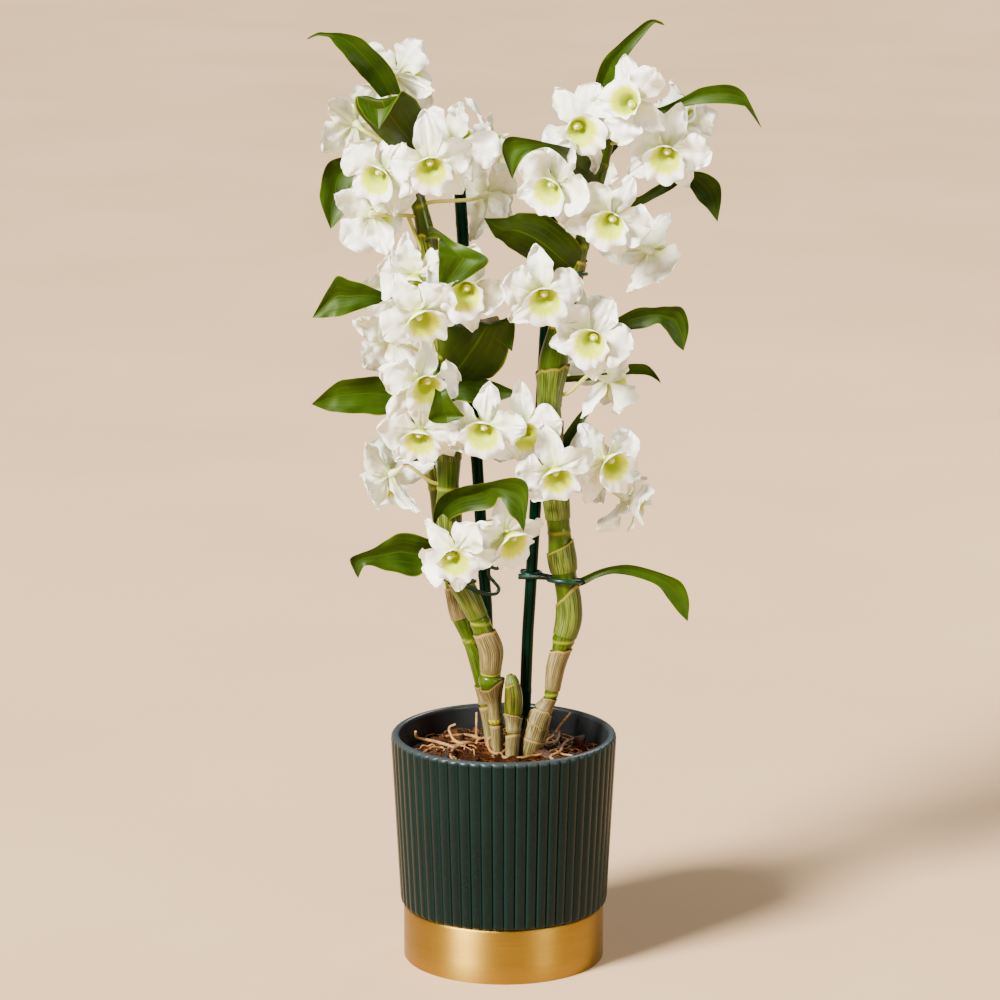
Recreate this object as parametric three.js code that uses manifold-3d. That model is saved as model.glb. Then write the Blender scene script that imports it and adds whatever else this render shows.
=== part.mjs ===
// Dendrobium orchid in a ribbed cover pot: two long flowering canes tied to stakes, with a
// younger and a short cane beside them, in bark inside a thin nursery pot.
// Millimetres, +Z up, the origin at the middle of the pot's underside, -Y the front.
import * as THREE from "three";
import { mergeVertices } from "three/addons/utils/BufferGeometryUtils.js";
import Module from "manifold-3d";

const wasm = await Module();
wasm.setup();

// Driving dimensions.
const GAP = 0.3; // air between two pieces that touch
const PETAL_GAP = 0.5; // the same between the blooms of two sprays
const POT = {
  height: 143.5,
  rimRadius: 69.2,
  rimWall: 4.6,
  ribs: 60,
  ribTopRadius: 70,
  ribFootRadius: 64.4,
  ribFootZ: 35.2,
  ribTopZ: 139,
  grooveDepth: 1.5,
  floor: 7,
  footRadius: 60.4,
};
const BAND = { height: 34.6, outer: 62.4, inner: 60.9, lip: 0.8 };
const NURSERY = { bottom: 7.3, rim: 123, foot: 52, mouth: 60.8, wall: 1.2, lip: 2.2 };
const BARK = { rim: 125.8, top: 127, rise: 1, chips: 8, chip: [27, 18, 7] };
const STAKE_RADIUS = 3.1;
const CLIP_WIRE = 1.3;
const BLADE = 1.3; // thickness of a petal along its middle
const LEAF = 1.4; // thickness of a leaf along its midrib

const GREEN = 0x5a7a12;
const PALE_GREEN = 0x93a052;
const TAN = 0xb4a582;
const WHITE = 0xf2f0ea;
const FINISH = {
  glaze: { color: 0x26342f, roughness: 0.25, metalness: 0 },
  gold: { color: 0xc8963c, roughness: 0.35, metalness: 1 },
  plastic: { color: 0x2a2a28, roughness: 0.5, metalness: 0 },
  bark: { color: 0x5a2d0f, roughness: 0.6, metalness: 0 },
  root: { color: TAN, roughness: 0.6, metalness: 0 },
  cane: { color: GREEN, roughness: 0.45, metalness: 0 },
  shoot: { color: PALE_GREEN, roughness: 0.5, metalness: 0 },
  stake: { color: 0x05281e, roughness: 0.3, metalness: 0 },
  clip: { color: 0x0a5041, roughness: 0.35, metalness: 0 },
  petal: { color: WHITE, roughness: 0.55, metalness: 0 },
};

const point = ([x, y, z]) => new THREE.Vector3(x, y, z);
const radians = THREE.MathUtils.degToRad;

// A repeatable scatter between -1 and 1.
function makeScatter(seed) {
  let state = seed;
  return () => {
    state = (state * 16807) % 2147483647;
    return (state / 2147483647) * 2 - 1;
  };
}

// --- Solids from closed surfaces -------------------------------------------------------

function solid(geometry) {
  const bare = geometry.clone();
  bare.deleteAttribute("normal");
  bare.deleteAttribute("uv");
  const merged = mergeVertices(bare, 1e-4);
  return new wasm.Manifold(
    new wasm.Mesh({
      numProp: 3,
      vertProperties: merged.attributes.position.array,
      triVerts: merged.index.array,
    }),
  );
}

// Corners come three to a triangle. Triangles with two corners at one place are left out.
function solidOfCorners(corners) {
  const kept = [];
  for (let i = 0; i < corners.length; i += 3) {
    const [a, b, c] = corners.slice(i, i + 3);
    const least = Math.min(a.distanceTo(b), b.distanceTo(c), c.distanceTo(a));
    if (least > 1e-3) kept.push(a, b, c);
  }
  return solid(new THREE.BufferGeometry().setFromPoints(kept));
}

const joined = (solids) => solids.reduce((sum, next) => sum.add(next));

function largestBody(whole) {
  const bodies = whole.decompose();
  return bodies.reduce((best, next) => (next.volume() > best.volume() ? next : best));
}

// The band between two rings of points, where one may hold a whole number of times as many
// points as the other. Narrowing and widening bands are split alike, so that the two walls
// of a frilled funnel keep clear of each other.
function band(low, high) {
  const steps = Math.max(low.length, high.length);
  const at = (ring, i) => ring[Math.floor((i * ring.length) / steps) % ring.length];
  return Array.from({ length: steps }, (_, i) => {
    const [a, b] = [at(low, i), at(low, i + 1)];
    const [c, d] = [at(high, i + 1), at(high, i)];
    return low.length > high.length ? [a, b, d, b, c, d] : [a, b, c, a, c, d];
  }).flat();
}

const bands = (rings) => rings.slice(1).flatMap((ring, i) => band(rings[i], ring));

// A ring closed by triangles round its middle, facing up or down.
function fan(ring, up) {
  const centre = ring.reduce((sum, p) => sum.add(p), new THREE.Vector3());
  centre.divideScalar(ring.length);
  return ring.flatMap((p, i) => {
    const next = ring[(i + 1) % ring.length];
    return up ? [centre, p, next] : [centre, next, p];
  });
}

const stackOfRings = (rings) =>
  solidOfCorners([...fan(rings[0], false), ...bands(rings), ...fan(rings.at(-1), true)]);

const circle = (radius, z, count, wave = () => 0) =>
  Array.from({ length: count }, (_, i) => {
    const turn = (2 * Math.PI * i) / count;
    const r = radius + wave(i);
    return point([r * Math.cos(turn), r * Math.sin(turn), z]);
  });

// Rings of points round a path, whose radius is given at each of its points. The first point
// of each ring lies towards across, as far as the path allows.
function ringsAlong(path, radii, turns, across) {
  let toward = across;
  return path.map((p, i) => {
    const along = path[Math.min(i + 1, path.length - 1)].clone();
    along.sub(path[Math.max(i - 1, 0)]).normalize();
    toward = toward.clone().addScaledVector(along, -toward.dot(along)).normalize();
    const beside = new THREE.Vector3().crossVectors(along, toward);
    const radius = Array.isArray(radii) ? radii[i] : radii;
    return turns.map((turn) =>
      p
        .clone()
        .addScaledVector(toward, radius * Math.cos(turn))
        .addScaledVector(beside, radius * Math.sin(turn)),
    );
  });
}

const evenTurns = (sides) =>
  Array.from({ length: sides }, (_, k) => (2 * Math.PI * k) / sides);

const tube = (path, radii, sides) =>
  stackOfRings(ringsAlong(path, radii, evenTurns(sides), new THREE.Vector3(1, 0.3, 0.2)));

// A face of a sheet at one of its cells, which hold a point, a normal and a thickness.
const face = (cell, sign) => cell.p.clone().addScaledVector(cell.n, (sign * cell.t) / 2);

// A sheet of rows of cells from root to tip, each row from left to right. Both faces are
// split into the same triangles. The root stays open where the sheet grows out of a body.
function sheetCorners(rows, rootOpen) {
  const corners = [];
  const wall = (from, to) => {
    const [a, b, c, d] = [face(from, -1), face(to, -1), face(to, 1), face(from, 1)];
    corners.push(a, b, c, a, c, d);
  };
  const last = rows.length - 1;
  const right = rows[0].length - 1;
  for (let i = 0; i < last; i++) {
    for (let j = 0; j < right; j++) {
      const cells = [rows[i][j], rows[i][j + 1], rows[i + 1][j + 1], rows[i + 1][j]];
      const [a, b, c, d] = cells.map((cell) => face(cell, 1));
      corners.push(a, b, c, a, c, d);
      const [e, f, g, h] = cells.map((cell) => face(cell, -1));
      corners.push(e, g, f, e, h, g);
    }
    wall(rows[i + 1][0], rows[i][0]);
    wall(rows[i][right], rows[i + 1][right]);
  }
  for (let j = 0; j < right; j++) {
    if (!rootOpen) wall(rows[0][j], rows[0][j + 1]);
    wall(rows[last][j + 1], rows[last][j]);
  }
  return corners;
}

// --- The pot ---------------------------------------------------------------------------

function potBody() {
  const plain = POT.ribs;
  const ribbed = 3 * POT.ribs;
  const rib = (i) => (i % 3 === 0 ? -POT.grooveDepth : 0);
  const inside = POT.rimRadius - POT.rimWall;
  return stackOfRings([
    circle(POT.footRadius, 0, plain),
    circle(POT.footRadius, BAND.height, plain),
    circle(POT.ribFootRadius, POT.ribFootZ, ribbed, rib),
    circle(POT.ribTopRadius, POT.ribTopZ, ribbed, rib),
    circle(POT.rimRadius, POT.ribTopZ + 1.6, plain),
    circle(POT.rimRadius - 0.9, POT.height, plain),
    circle(inside + 0.9, POT.height, plain),
    circle(inside, POT.height - 1.4, plain),
    circle(NURSERY.foot + 6, POT.floor, plain),
  ]);
}

function baseBand() {
  const count = 40;
  const outer = stackOfRings([
    circle(BAND.outer, 0, count),
    circle(BAND.outer, BAND.height - BAND.lip, count),
    circle(BAND.outer - BAND.lip, BAND.height, count),
  ]);
  const core = stackOfRings([
    circle(BAND.inner, -1, count),
    circle(BAND.inner, BAND.height + 1, count),
  ]);
  return outer.subtract(core);
}

function nurseryPot() {
  const count = 24;
  const { bottom, rim, foot, mouth, wall, lip } = NURSERY;
  return stackOfRings([
    circle(foot, bottom, count),
    circle(mouth, rim - lip, count),
    circle(mouth + 1.4, rim - lip, count),
    circle(mouth + 1.4, rim, count),
    circle(mouth - wall, rim, count),
    circle(foot - wall, bottom + wall, count),
  ]);
}

// --- Canes -----------------------------------------------------------------------------
// Each row is x, y, z and the radius there: narrow at a joint, swollen between joints.

const CANES = {
  left: [
    [-4, 1, 96, 2.8],
    [-4, 0, 133, 3.3],
    [-5, 0, 151, 3.6],
    [-6, -1, 164, 4.4],
    [-8, -2, 177, 7.6],
    [-8, -2, 181, 6],
    [-8, -3, 187, 6.4],
    [-8, -4, 198, 7.2],
    [-13, -5, 211, 6.2],
    [-16, -5, 219, 6],
    [-21, -6, 230, 6.8],
    [-27, -6, 242, 6.6],
    [-32, -6, 256, 5.8],
    [-34, -6, 280, 8],
    [-34, -5, 300, 6.6],
    [-34, -5, 322, 8],
    [-35, -4, 342, 6.4],
    [-36, -4, 362, 7.4],
    [-37, -3, 382, 5.8],
    [-39, -2, 404, 6.8],
    [-42, -1, 426, 5.2],
    [-46, 0, 450, 6],
    [-51, 0, 474, 4.8],
    [-58, 0, 496, 5],
    [-63, 0, 518, 4],
    [-66, -1, 540, 2.6],
  ],
  left_back: [
    [-6, 15, 98, 2.8],
    [-8, 15, 134, 3.4],
    [-11, 16, 158, 4.2],
    [-15, 16, 180, 5.4],
    [-21, 17, 198, 4.6],
    [-27, 18, 214, 6],
    [-30, 19, 228, 5.6],
    [-34, 21, 248, 4.6],
    [-38, 23, 272, 6],
    [-42, 24, 294, 4.6],
    [-48, 25, 320, 5.4],
    [-56, 26, 346, 3.4],
    [-60, 26, 356, 1.6],
  ],
  short: [
    [5, -12, 98, 2.6],
    [5, -10, 133, 3.6],
    [6, -9, 148, 4],
    [6, -8, 158, 5.2],
    [6, -8, 170, 5],
    [5, -8, 178, 3.4],
    [4, -8, 183, 1.2],
  ],
  right: [
    [16, 0, 98, 4],
    [16, -2, 128, 6],
    [17, -3, 136, 7],
    [20, -4, 146, 7],
    [23, -4, 156, 6.4],
    [28, -4, 165, 3.9],
    [30, -4, 172, 4.4],
    [32, -4, 186, 5.4],
    [35, -3, 196, 5.6],
    [37, -3, 204, 6.8],
    [40, -2, 216, 7.8],
    [40, -2, 228, 7.4],
    [38, -2, 240, 7],
    [36, -2, 254, 8.6],
    [34, -2, 272, 7],
    [32, -1, 292, 7.8],
    [29, -1, 312, 6.4],
    [28, 0, 334, 8],
    [28, 0, 354, 7],
    [30, 0, 376, 9],
    [34, 0, 400, 6.4],
    [40, 2, 424, 6.4],
    [47, 3, 449, 4.8],
    [53, 4, 474, 4.6],
    [60, 5, 498, 3.4],
    [65, 5, 522, 3.2],
    [68, 4, 540, 2],
  ],
};
const CANE_SIDES = 7;

const canePath = (name) => CANES[name].map(point);

function cane(name, extra = 0) {
  const radii = CANES[name].map((row) => row[3] + extra);
  return tube(canePath(name), radii, CANE_SIDES);
}

// The middle of a cane at a height, with its radius there.
function caneAt(name, z) {
  const rows = CANES[name];
  const k = Math.max(
    1,
    rows.findIndex((row) => row[2] >= z),
  );
  const [low, high] = [rows[k - 1], rows[k]];
  const share = (z - low[2]) / (high[2] - low[2]);
  const [x, y, , radius] = low.map((value, i) => value + share * (high[i] - value));
  return { middle: point([x, y, z]), radius };
}

// --- Leaves ----------------------------------------------------------------------------
// Each leaf is a blade along a path, folded a little along its midrib. tilt turns its upper
// face from the front (0) to the sky (90).

const LEAVES = {
  left: [
    {
      width: 18,
      tilt: 10,
      path: [
        [-65, -1, 534], [-74, -8, 549], [-86, -9, 565],
        [-98, -8, 575], [-109, -6, 579], [-117, -6, 575],
      ],
    },
    {
      width: 24,
      tilt: 25,
      path: [
        [-63, 0, 516], [-63, -13, 529], [-69, -21, 536],
        [-78, -26, 533], [-84, -28, 520],
      ],
    },
    {
      width: 17,
      tilt: 0,
      path: [
        [-56, 2, 488], [-80, 12, 499], [-99, 12, 501],
        [-109, 10, 484], [-105, 9, 458],
      ],
    },
    {
      width: 26,
      tilt: 5,
      path: [
        [-46, -2, 452], [-41, -20, 463], [-30, -26, 460],
        [-19, -28, 454], [-9, -28, 446],
      ],
    },
    {
      width: 20,
      tilt: 30,
      path: [
        [-42, -2, 424], [-62, -6, 418], [-78, -7, 423],
        [-93, -6, 421], [-105, -6, 414], [-115, -6, 405],
      ],
    },
    {
      width: 23,
      tilt: 25,
      path: [
        [-37, -4, 368], [-52, -8, 360], [-66, -9, 363],
        [-87, -8, 363], [-103, -8, 358], [-115, -8, 352],
      ],
    },
    {
      width: 26,
      tilt: 10,
      path: [
        [-36, -4, 362], [-31, -14, 378], [-21, -16, 394],
        [-9, -16, 401], [1, -16, 396],
      ],
    },
    {
      width: 17,
      tilt: 30,
      path: [
        [-35, -4, 352], [-22, -10, 369], [-6, -12, 368], [9, -12, 361],
      ],
    },
    {
      width: 21,
      tilt: 35,
      path: [
        [-34, -6, 284], [-25, -26, 299], [-5, -30, 306],
        [8, -29, 299], [10, -27, 279],
      ],
    },
    {
      width: 22,
      tilt: 30,
      path: [
        [-32, -6, 262], [-54, -16, 268], [-73, -18, 263],
        [-86, -18, 256], [-95, -17, 249],
      ],
    },
    {
      width: 19,
      tilt: 110,
      path: [
        [-50, 0, 470], [-60, 24, 482], [-70, 44, 479], [-78, 58, 462],
      ],
    },
    {
      width: 20,
      tilt: 110,
      path: [
        [-37, -2, 386], [-20, 24, 400], [-10, 45, 397], [-5, 60, 381],
      ],
    },
  ],
  left_back: [
    {
      width: 18,
      tilt: 100,
      path: [
        [-42, 24, 296], [-60, 36, 308], [-78, 46, 305], [-90, 52, 290],
      ],
    },
  ],
  right: [
    {
      width: 14,
      tilt: 0,
      path: [
        [66, 4, 528], [60, -4, 545], [63, -8, 560],
        [73, -9, 570], [83, -8, 579], [95, -8, 584],
      ],
    },
    {
      width: 14,
      tilt: 50,
      path: [
        [66, 5, 530], [84, 2, 530], [98, -2, 535], [115, -4, 541],
        [131, -4, 543], [145, -4, 538], [155, -4, 521],
      ],
    },
    {
      width: 17,
      tilt: 20,
      path: [
        [54, 4, 476], [79, 10, 474], [97, 8, 488],
        [112, 2, 497], [125, -2, 488], [129, -2, 465],
      ],
    },
    {
      width: 19,
      tilt: 15,
      path: [
        [59, 5, 492], [45, -16, 503], [25, -20, 512],
        [8, -21, 511], [3, -21, 494],
      ],
    },
    {
      width: 26,
      tilt: 10,
      path: [
        [41, 2, 428], [38, -8, 448], [22, -12, 460],
        [4, -13, 467], [-12, -14, 467],
      ],
    },
    {
      width: 16,
      tilt: 40,
      path: [
        [35, 0, 402], [63, -2, 400], [79, -6, 407],
        [96, -8, 408], [107, -8, 402], [109, -8, 387],
      ],
    },
    {
      width: 11,
      tilt: 40,
      path: [
        [30, 0, 376], [59, 8, 374], [77, 8, 375], [94, 6, 364],
      ],
    },
    {
      width: 12,
      tilt: 60,
      path: [
        [28, 0, 330], [40, 10, 332], [50, 10, 345], [59, 10, 360],
      ],
    },
    {
      width: 18,
      tilt: 45,
      path: [
        [38, -2, 240], [50, -9, 243], [66, -10, 249],
        [87, -10, 248], [106, -10, 238], [113, -10, 217],
      ],
    },
    {
      width: 18,
      tilt: 110,
      path: [
        [61, 5, 502], [67, 26, 514], [77, 46, 512], [85, 60, 495],
      ],
    },
    {
      width: 19,
      tilt: 110,
      path: [
        [36, 0, 408], [25, 24, 420], [20, 46, 416], [17, 61, 401],
      ],
    },
  ],
};
const LEAF_ROWS = [0, 0.2, 0.45, 0.7, 0.9, 1];
const LEAF_SHARE = [0.26, 0.72, 1, 0.86, 0.42, 0]; // of the half width, at each row
const LEAF_FOLD = 0.16; // rise of the edges, as a share of the half width

function leaf({ width, tilt, path }, extra = 0) {
  const spine = new THREE.CatmullRomCurve3(path.map(point));
  const facing = point([0, -Math.cos(radians(tilt)), Math.sin(radians(tilt))]);
  const rows = LEAF_ROWS.map((share, i) => {
    const along = spine.getTangent(share);
    const middle = spine.getPoint(share).addScaledVector(along, i === 5 ? extra : 0);
    const n = facing.clone().addScaledVector(along, -facing.dot(along)).normalize();
    const across = new THREE.Vector3().crossVectors(along, n);
    const half = (width / 2) * LEAF_SHARE[i] + extra;
    return [-1, 0, 1].map((step) => ({
      p: middle
        .clone()
        .addScaledVector(across, step * half)
        .addScaledVector(n, Math.abs(step) * half * LEAF_FOLD),
      n,
      t: (step === 0 && i < 5 ? LEAF : 0) + 2 * extra,
    }));
  });
  return solidOfCorners(sheetCorners(rows, false));
}

// --- Blooms ----------------------------------------------------------------------------
// turn swings the face of a bloom from the front (0) to the right (90) or the left (-90),
// lift raises it, and roll spins it clockwise. Each spray stands off a cane at a height, on
// the side given by an angle of the same sort as turn.

const SPRAYS = {
  spray_left_tip: {
    cane: "left",
    height: 532,
    side: 170,
    blooms: [{ at: [-58, 0, 560], turn: 55, lift: 35, roll: 0 }],
  },
  spray_left_crown: {
    cane: "left",
    height: 508,
    side: -40,
    blooms: [
      { at: [-91, -4, 528], turn: -62, lift: 8, roll: 0 },
      { at: [-77, -24, 498], turn: -16, lift: 0, roll: 0 },
    ],
  },
  spray_left_high: {
    cane: "left",
    height: 496,
    side: 30,
    blooms: [
      { at: [-42, -40, 505], turn: 4, lift: -2, roll: 0 },
      { at: [-26, -20, 525], turn: 36, lift: 42, roll: 0 },
      { at: [-12, 6, 511], turn: 88, lift: 5, roll: 0 },
    ],
  },
  spray_left_shoulder: {
    cane: "left",
    height: 466,
    side: -60,
    blooms: [
      { at: [-80, -4, 469], turn: -112, lift: -15, roll: 0 },
      { at: [-52, -18, 434], turn: -18, lift: -25, roll: 0 },
    ],
  },
  spray_left_inner: {
    cane: "left",
    height: 474,
    side: 80,
    blooms: [{ at: [-16, 10, 478], turn: 40, lift: -10, roll: 0 }],
  },
  spray_left_heart: {
    cane: "left",
    height: 416,
    side: 10,
    blooms: [
      { at: [-20, -34, 429], turn: 14, lift: 0, roll: 0 },
      { at: [-55, -40, 412], turn: -18, lift: -8, roll: 0 },
    ],
  },
  spray_left_waist: {
    cane: "left",
    height: 380,
    side: -40,
    blooms: [
      { at: [-70, -8, 393], turn: -85, lift: -10, roll: 0 },
      { at: [-47, -42, 373], turn: -8, lift: -2, roll: 0 },
    ],
  },
  spray_left_low: {
    cane: "left",
    height: 336,
    side: -20,
    blooms: [
      { at: [-59, -32, 338], turn: -38, lift: -5, roll: 0 },
      { at: [-11, -38, 346], turn: -4, lift: -2, roll: 0 },
    ],
  },
  spray_left_hip: {
    cane: "left",
    height: 302,
    side: -70,
    blooms: [{ at: [-72, -8, 306], turn: -98, lift: -12, roll: 0 }],
  },
  spray_left_foot: {
    cane: "left",
    height: 268,
    side: 20,
    blooms: [
      { at: [-34, -32, 263], turn: -14, lift: -10, roll: 0 },
      { at: [4, -20, 270], turn: 20, lift: -25, roll: 0 },
    ],
  },
  spray_right_crown: {
    cane: "right",
    height: 522,
    side: 0,
    blooms: [
      { at: [79, -28, 536], turn: -5, lift: 8, roll: -125 },
      { at: [43, -16, 529], turn: -14, lift: -2, roll: 0 },
    ],
  },
  spray_right_high: {
    cane: "right",
    height: 510,
    side: 60,
    blooms: [
      { at: [103, -18, 510], turn: 12, lift: -2, roll: 0 },
      { at: [109, 18, 524], turn: 150, lift: 5, roll: 0 },
    ],
  },
  spray_right_inner: {
    cane: "right",
    height: 484,
    side: -50,
    blooms: [{ at: [29, -28, 489], turn: -22, lift: -2, roll: 0 }],
  },
  spray_right_shoulder: {
    cane: "right",
    height: 458,
    side: 30,
    blooms: [
      { at: [64, -32, 471], turn: 0, lift: 0, roll: 0 },
      { at: [84, 2, 452], turn: 105, lift: -8, roll: 0 },
    ],
  },
  spray_right_heart: {
    cane: "right",
    height: 412,
    side: 0,
    blooms: [
      { at: [23, -42, 428], turn: 0, lift: 0, roll: 0 },
      { at: [56, -32, 399], turn: 14, lift: -2, roll: 0 },
    ],
  },
  spray_right_waist: {
    cane: "right",
    height: 356,
    side: 80,
    blooms: [{ at: [68, 4, 366], turn: 125, lift: -20, roll: 0 }],
  },
  spray_right_low: {
    cane: "right",
    height: 326,
    side: -60,
    blooms: [
      { at: [17, -22, 337], turn: 25, lift: 0, roll: 0 },
      { at: [28, -32, 311], turn: 16, lift: -15, roll: 0 },
    ],
  },
  spray_right_hip: {
    cane: "right",
    height: 302,
    side: 70,
    blooms: [
      { at: [64, -16, 316], turn: 50, lift: -2, roll: 0 },
      { at: [78, 8, 290], turn: 98, lift: -18, roll: 0 },
    ],
  },
  spray_back_left_crown: {
    cane: "left",
    height: 506,
    side: 170,
    blooms: [{ at: [-66, 32, 530], turn: -165, lift: 10, roll: 0 }],
  },
  spray_back_left_heart: {
    cane: "left",
    height: 412,
    side: -165,
    blooms: [{ at: [-64, 34, 414], turn: -160, lift: -5, roll: 0 }],
  },
  spray_back_left_hip: {
    cane: "left_back",
    height: 330,
    side: 150,
    blooms: [{ at: [-32, 50, 334], turn: 165, lift: -5, roll: 0 }],
  },
  spray_back_right_crown: {
    cane: "right",
    height: 482,
    side: 175,
    blooms: [{ at: [46, 36, 486], turn: -170, lift: 0, roll: 0 }],
  },
  spray_back_right_waist: {
    cane: "right",
    height: 388,
    side: 170,
    blooms: [{ at: [46, 38, 394], turn: -175, lift: 0, roll: 0 }],
  },
  spray_back_right_low: {
    cane: "right",
    height: 300,
    side: 160,
    blooms: [{ at: [46, 34, 306], turn: 160, lift: -8, roll: 0 }],
  },
};

// Each row of a sepal or petal gives its share of the length, the half width, and how far
// the left and the right edge stand forward. ahead is how far its root stands forward, and
// bend the line and the curve that it follows from there.
const SEPAL = {
  length: 31,
  ahead: -0.8,
  bend: [0, -7],
  rows: [
    { share: 0.45, half: 7.2, left: 0.6, right: 0.6 },
    { share: 0.8, half: 5.2, left: 0, right: 1 },
    { share: 1, half: 0, left: 0, right: 0 },
  ],
};
const PETAL = {
  length: 29,
  ahead: 0.8,
  bend: [8, -8],
  rows: [
    { share: 0.42, half: 10.6, left: 1.6, right: -0.4 },
    { share: 0.8, half: 11, left: -0.8, right: 2.4 },
    { share: 1, half: 0, left: 0, right: 0 },
  ],
};
// Clockwise from the top of the bloom: the upper sepal, a petal, two lower sepals, a petal.
const TEPALS = [
  { form: SEPAL, angle: 0, left: -38, right: 38 },
  { form: PETAL, angle: 76, left: 38, right: 107 },
  { form: SEPAL, angle: 138, left: 107, right: 180 },
  { form: SEPAL, angle: 222, left: 180, right: 253 },
  { form: PETAL, angle: 284, left: 253, right: 322 },
];
const KNOT_RADIUS = 3.2; // the tepals grow out of the bloom's middle at this radius
const STALK = [1.3, 1.2, 1.3, 2.4]; // radii of the stalk from the cane to the bloom
// Rings of the lip and the column: outside wall, frilled mouth, throat, and the column in it.
// wider and further say how a ring moves when the bloom is made a little fatter, which
// parts the two rings of the mouth.
const LIP = [
  { ahead: 5, radius: 3.6, drop: 0, wider: 1, further: -1 },
  { ahead: 13.5, radius: 12.8, drop: 3.5, frill: 1.3, wider: 1, further: -1 },
  { ahead: 13.5, radius: 12.8, drop: 3.5, frill: 1.3, wider: 1, further: 1 },
  { ahead: 9.5, radius: 5.6, drop: 0.8, wider: -1, further: 1 },
  { ahead: 5.5, radius: 1.8, drop: 0, wider: 0, further: 1 },
  { ahead: 10.5, radius: 1.5, drop: -0.8, wider: 1, further: 1 },
];

function bloomFrame({ at, turn, lift, roll }) {
  const [a, e, r] = [turn, lift, roll].map(radians);
  const ahead = point([Math.sin(a) * Math.cos(e), -Math.cos(a) * Math.cos(e), Math.sin(e)]);
  const plumb = point([0, 0, 1]).addScaledVector(ahead, -ahead.z).normalize();
  const beside = new THREE.Vector3().crossVectors(plumb, ahead);
  const up = plumb.clone().multiplyScalar(Math.cos(r)).addScaledVector(beside, Math.sin(r));
  const right = new THREE.Vector3().crossVectors(up, ahead);
  const centre = point(at);
  // A place by its clockwise angle, its radius and how far forward it lies.
  const place = (degrees, radius, forward) =>
    centre
      .clone()
      .addScaledVector(up, radius * Math.cos(radians(degrees)))
      .addScaledVector(right, radius * Math.sin(radians(degrees)))
      .addScaledVector(ahead, forward);
  return { ahead, up, right, place };
}

function tepalRows({ form, angle, left, right }, { ahead, place }, extra) {
  const cell = (p, t) => ({ p, n: ahead, t });
  const root = [
    cell(place(left, KNOT_RADIUS + extra, 0), 0),
    cell(place(angle, KNOT_RADIUS + extra, form.ahead), BLADE + 2 * extra),
    cell(place(right, KNOT_RADIUS + extra, 0), 0),
  ];
  const rows = form.rows.map((row) => {
    const isTip = row.half === 0;
    const reach = form.length * row.share + (isTip ? 2 * extra : 0);
    const half = row.half + extra;
    const forward = form.ahead + form.bend[0] * row.share + form.bend[1] * row.share ** 2;
    const spread = (Math.atan2(half, reach) * 180) / Math.PI;
    const edge = Math.hypot(half, reach);
    return [
      cell(place(angle - spread, edge, forward + row.left), 2 * extra),
      cell(place(angle, reach, forward), (isTip ? 0 : BLADE) + 2 * extra),
      cell(place(angle + spread, edge, forward + row.right), 2 * extra),
    ];
  });
  return [root, ...rows];
}

// One closed surface: the stalk, the five tepals, the lip as a frilled funnel, the column.
function bloom(place, path, extra) {
  const frame = bloomFrame(place);
  const tepals = TEPALS.map((one) => tepalRows(one, frame, extra));
  // Rings run the other way round from the clockwise tepals.
  const knot = (sign) =>
    tepals
      .map(([[, middle, right]]) => [right.p, face(middle, sign)])
      .reverse()
      .flat();
  const corners = TEPALS.map((one) => one.right).reverse();
  const mouth = TEPALS.flatMap((one) => [one.angle, one.right]).reverse();
  const lipRings = LIP.map(({ ahead, radius, drop, frill = 0, wider, further }) =>
    (frill ? mouth : corners).map((degrees, i) => {
      const forward = ahead + (i % 2 ? frill : -frill) + further * extra;
      const p = frame.place(degrees, radius + wider * extra, forward);
      return p.addScaledVector(frame.up, -drop);
    }),
  );
  const stalkPath = [...path, frame.place(0, 0, -6), frame.place(0, 0, -2)].reverse();
  const radii = [...STALK].reverse().map((radius) => radius + extra);
  while (radii.length < stalkPath.length) radii.push(radii.at(-1));
  const turns = corners.map((degrees) => radians(degrees));
  const stalk = ringsAlong(stalkPath, radii, turns, frame.up).reverse();
  return solidOfCorners([
    ...fan(stalk[0], false),
    ...bands([...stalk, knot(-1)]),
    ...tepals.flatMap((rows) => sheetCorners(rows, true)),
    ...bands([knot(1), ...lipRings]),
    ...fan(lipRings.at(-1), true),
  ]);
}

function spray({ cane: name, height, side, blooms }, extra = 0) {
  const { middle, radius } = caneAt(name, height);
  const a = radians(side);
  const out = point([Math.sin(a), -Math.cos(a), 0.25]).normalize();
  const hub = middle.clone().addScaledVector(out, radius + 5);
  return joined(
    blooms.map((place, i) => {
      const back = bloomFrame(place).place(0, 0, -16);
      const bend = hub.clone().lerp(back, 0.5);
      return bloom(place, i === 0 ? [middle, hub, back] : [hub, bend, back], extra);
    }),
  );
}

// --- Stakes and clips ------------------------------------------------------------------

const STAKES = {
  left: [[-9.6, 28, 92], [-10.2, 24, 200], [-13.5, 17, 262], [-26.8, 14, 483]],
  right: [[11.6, 22, 92], [14.5, 18, 190], [17.5, 16, 247], [31.7, 20, 505]],
};

const stake = (name, extra = 0) => tube(STAKES[name].map(point), STAKE_RADIUS + extra, 10);

// A clip is one loop round the cane and one round the stake, joined by a short neck.
const CLIPS = {
  clip_left: { cane: [-27, -6, 242], loop: 10.4, stake: [-12.4, 18.4, 246], hold: 5.2 },
  clip_right: { cane: [38, -2, 243], loop: 11.6, stake: [17.3, 16, 244], hold: 5.2 },
  clip_upper: { cane: [42, 2, 432], loop: 8.6, stake: [27.6, 19, 432], hold: 5.2 },
};

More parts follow.
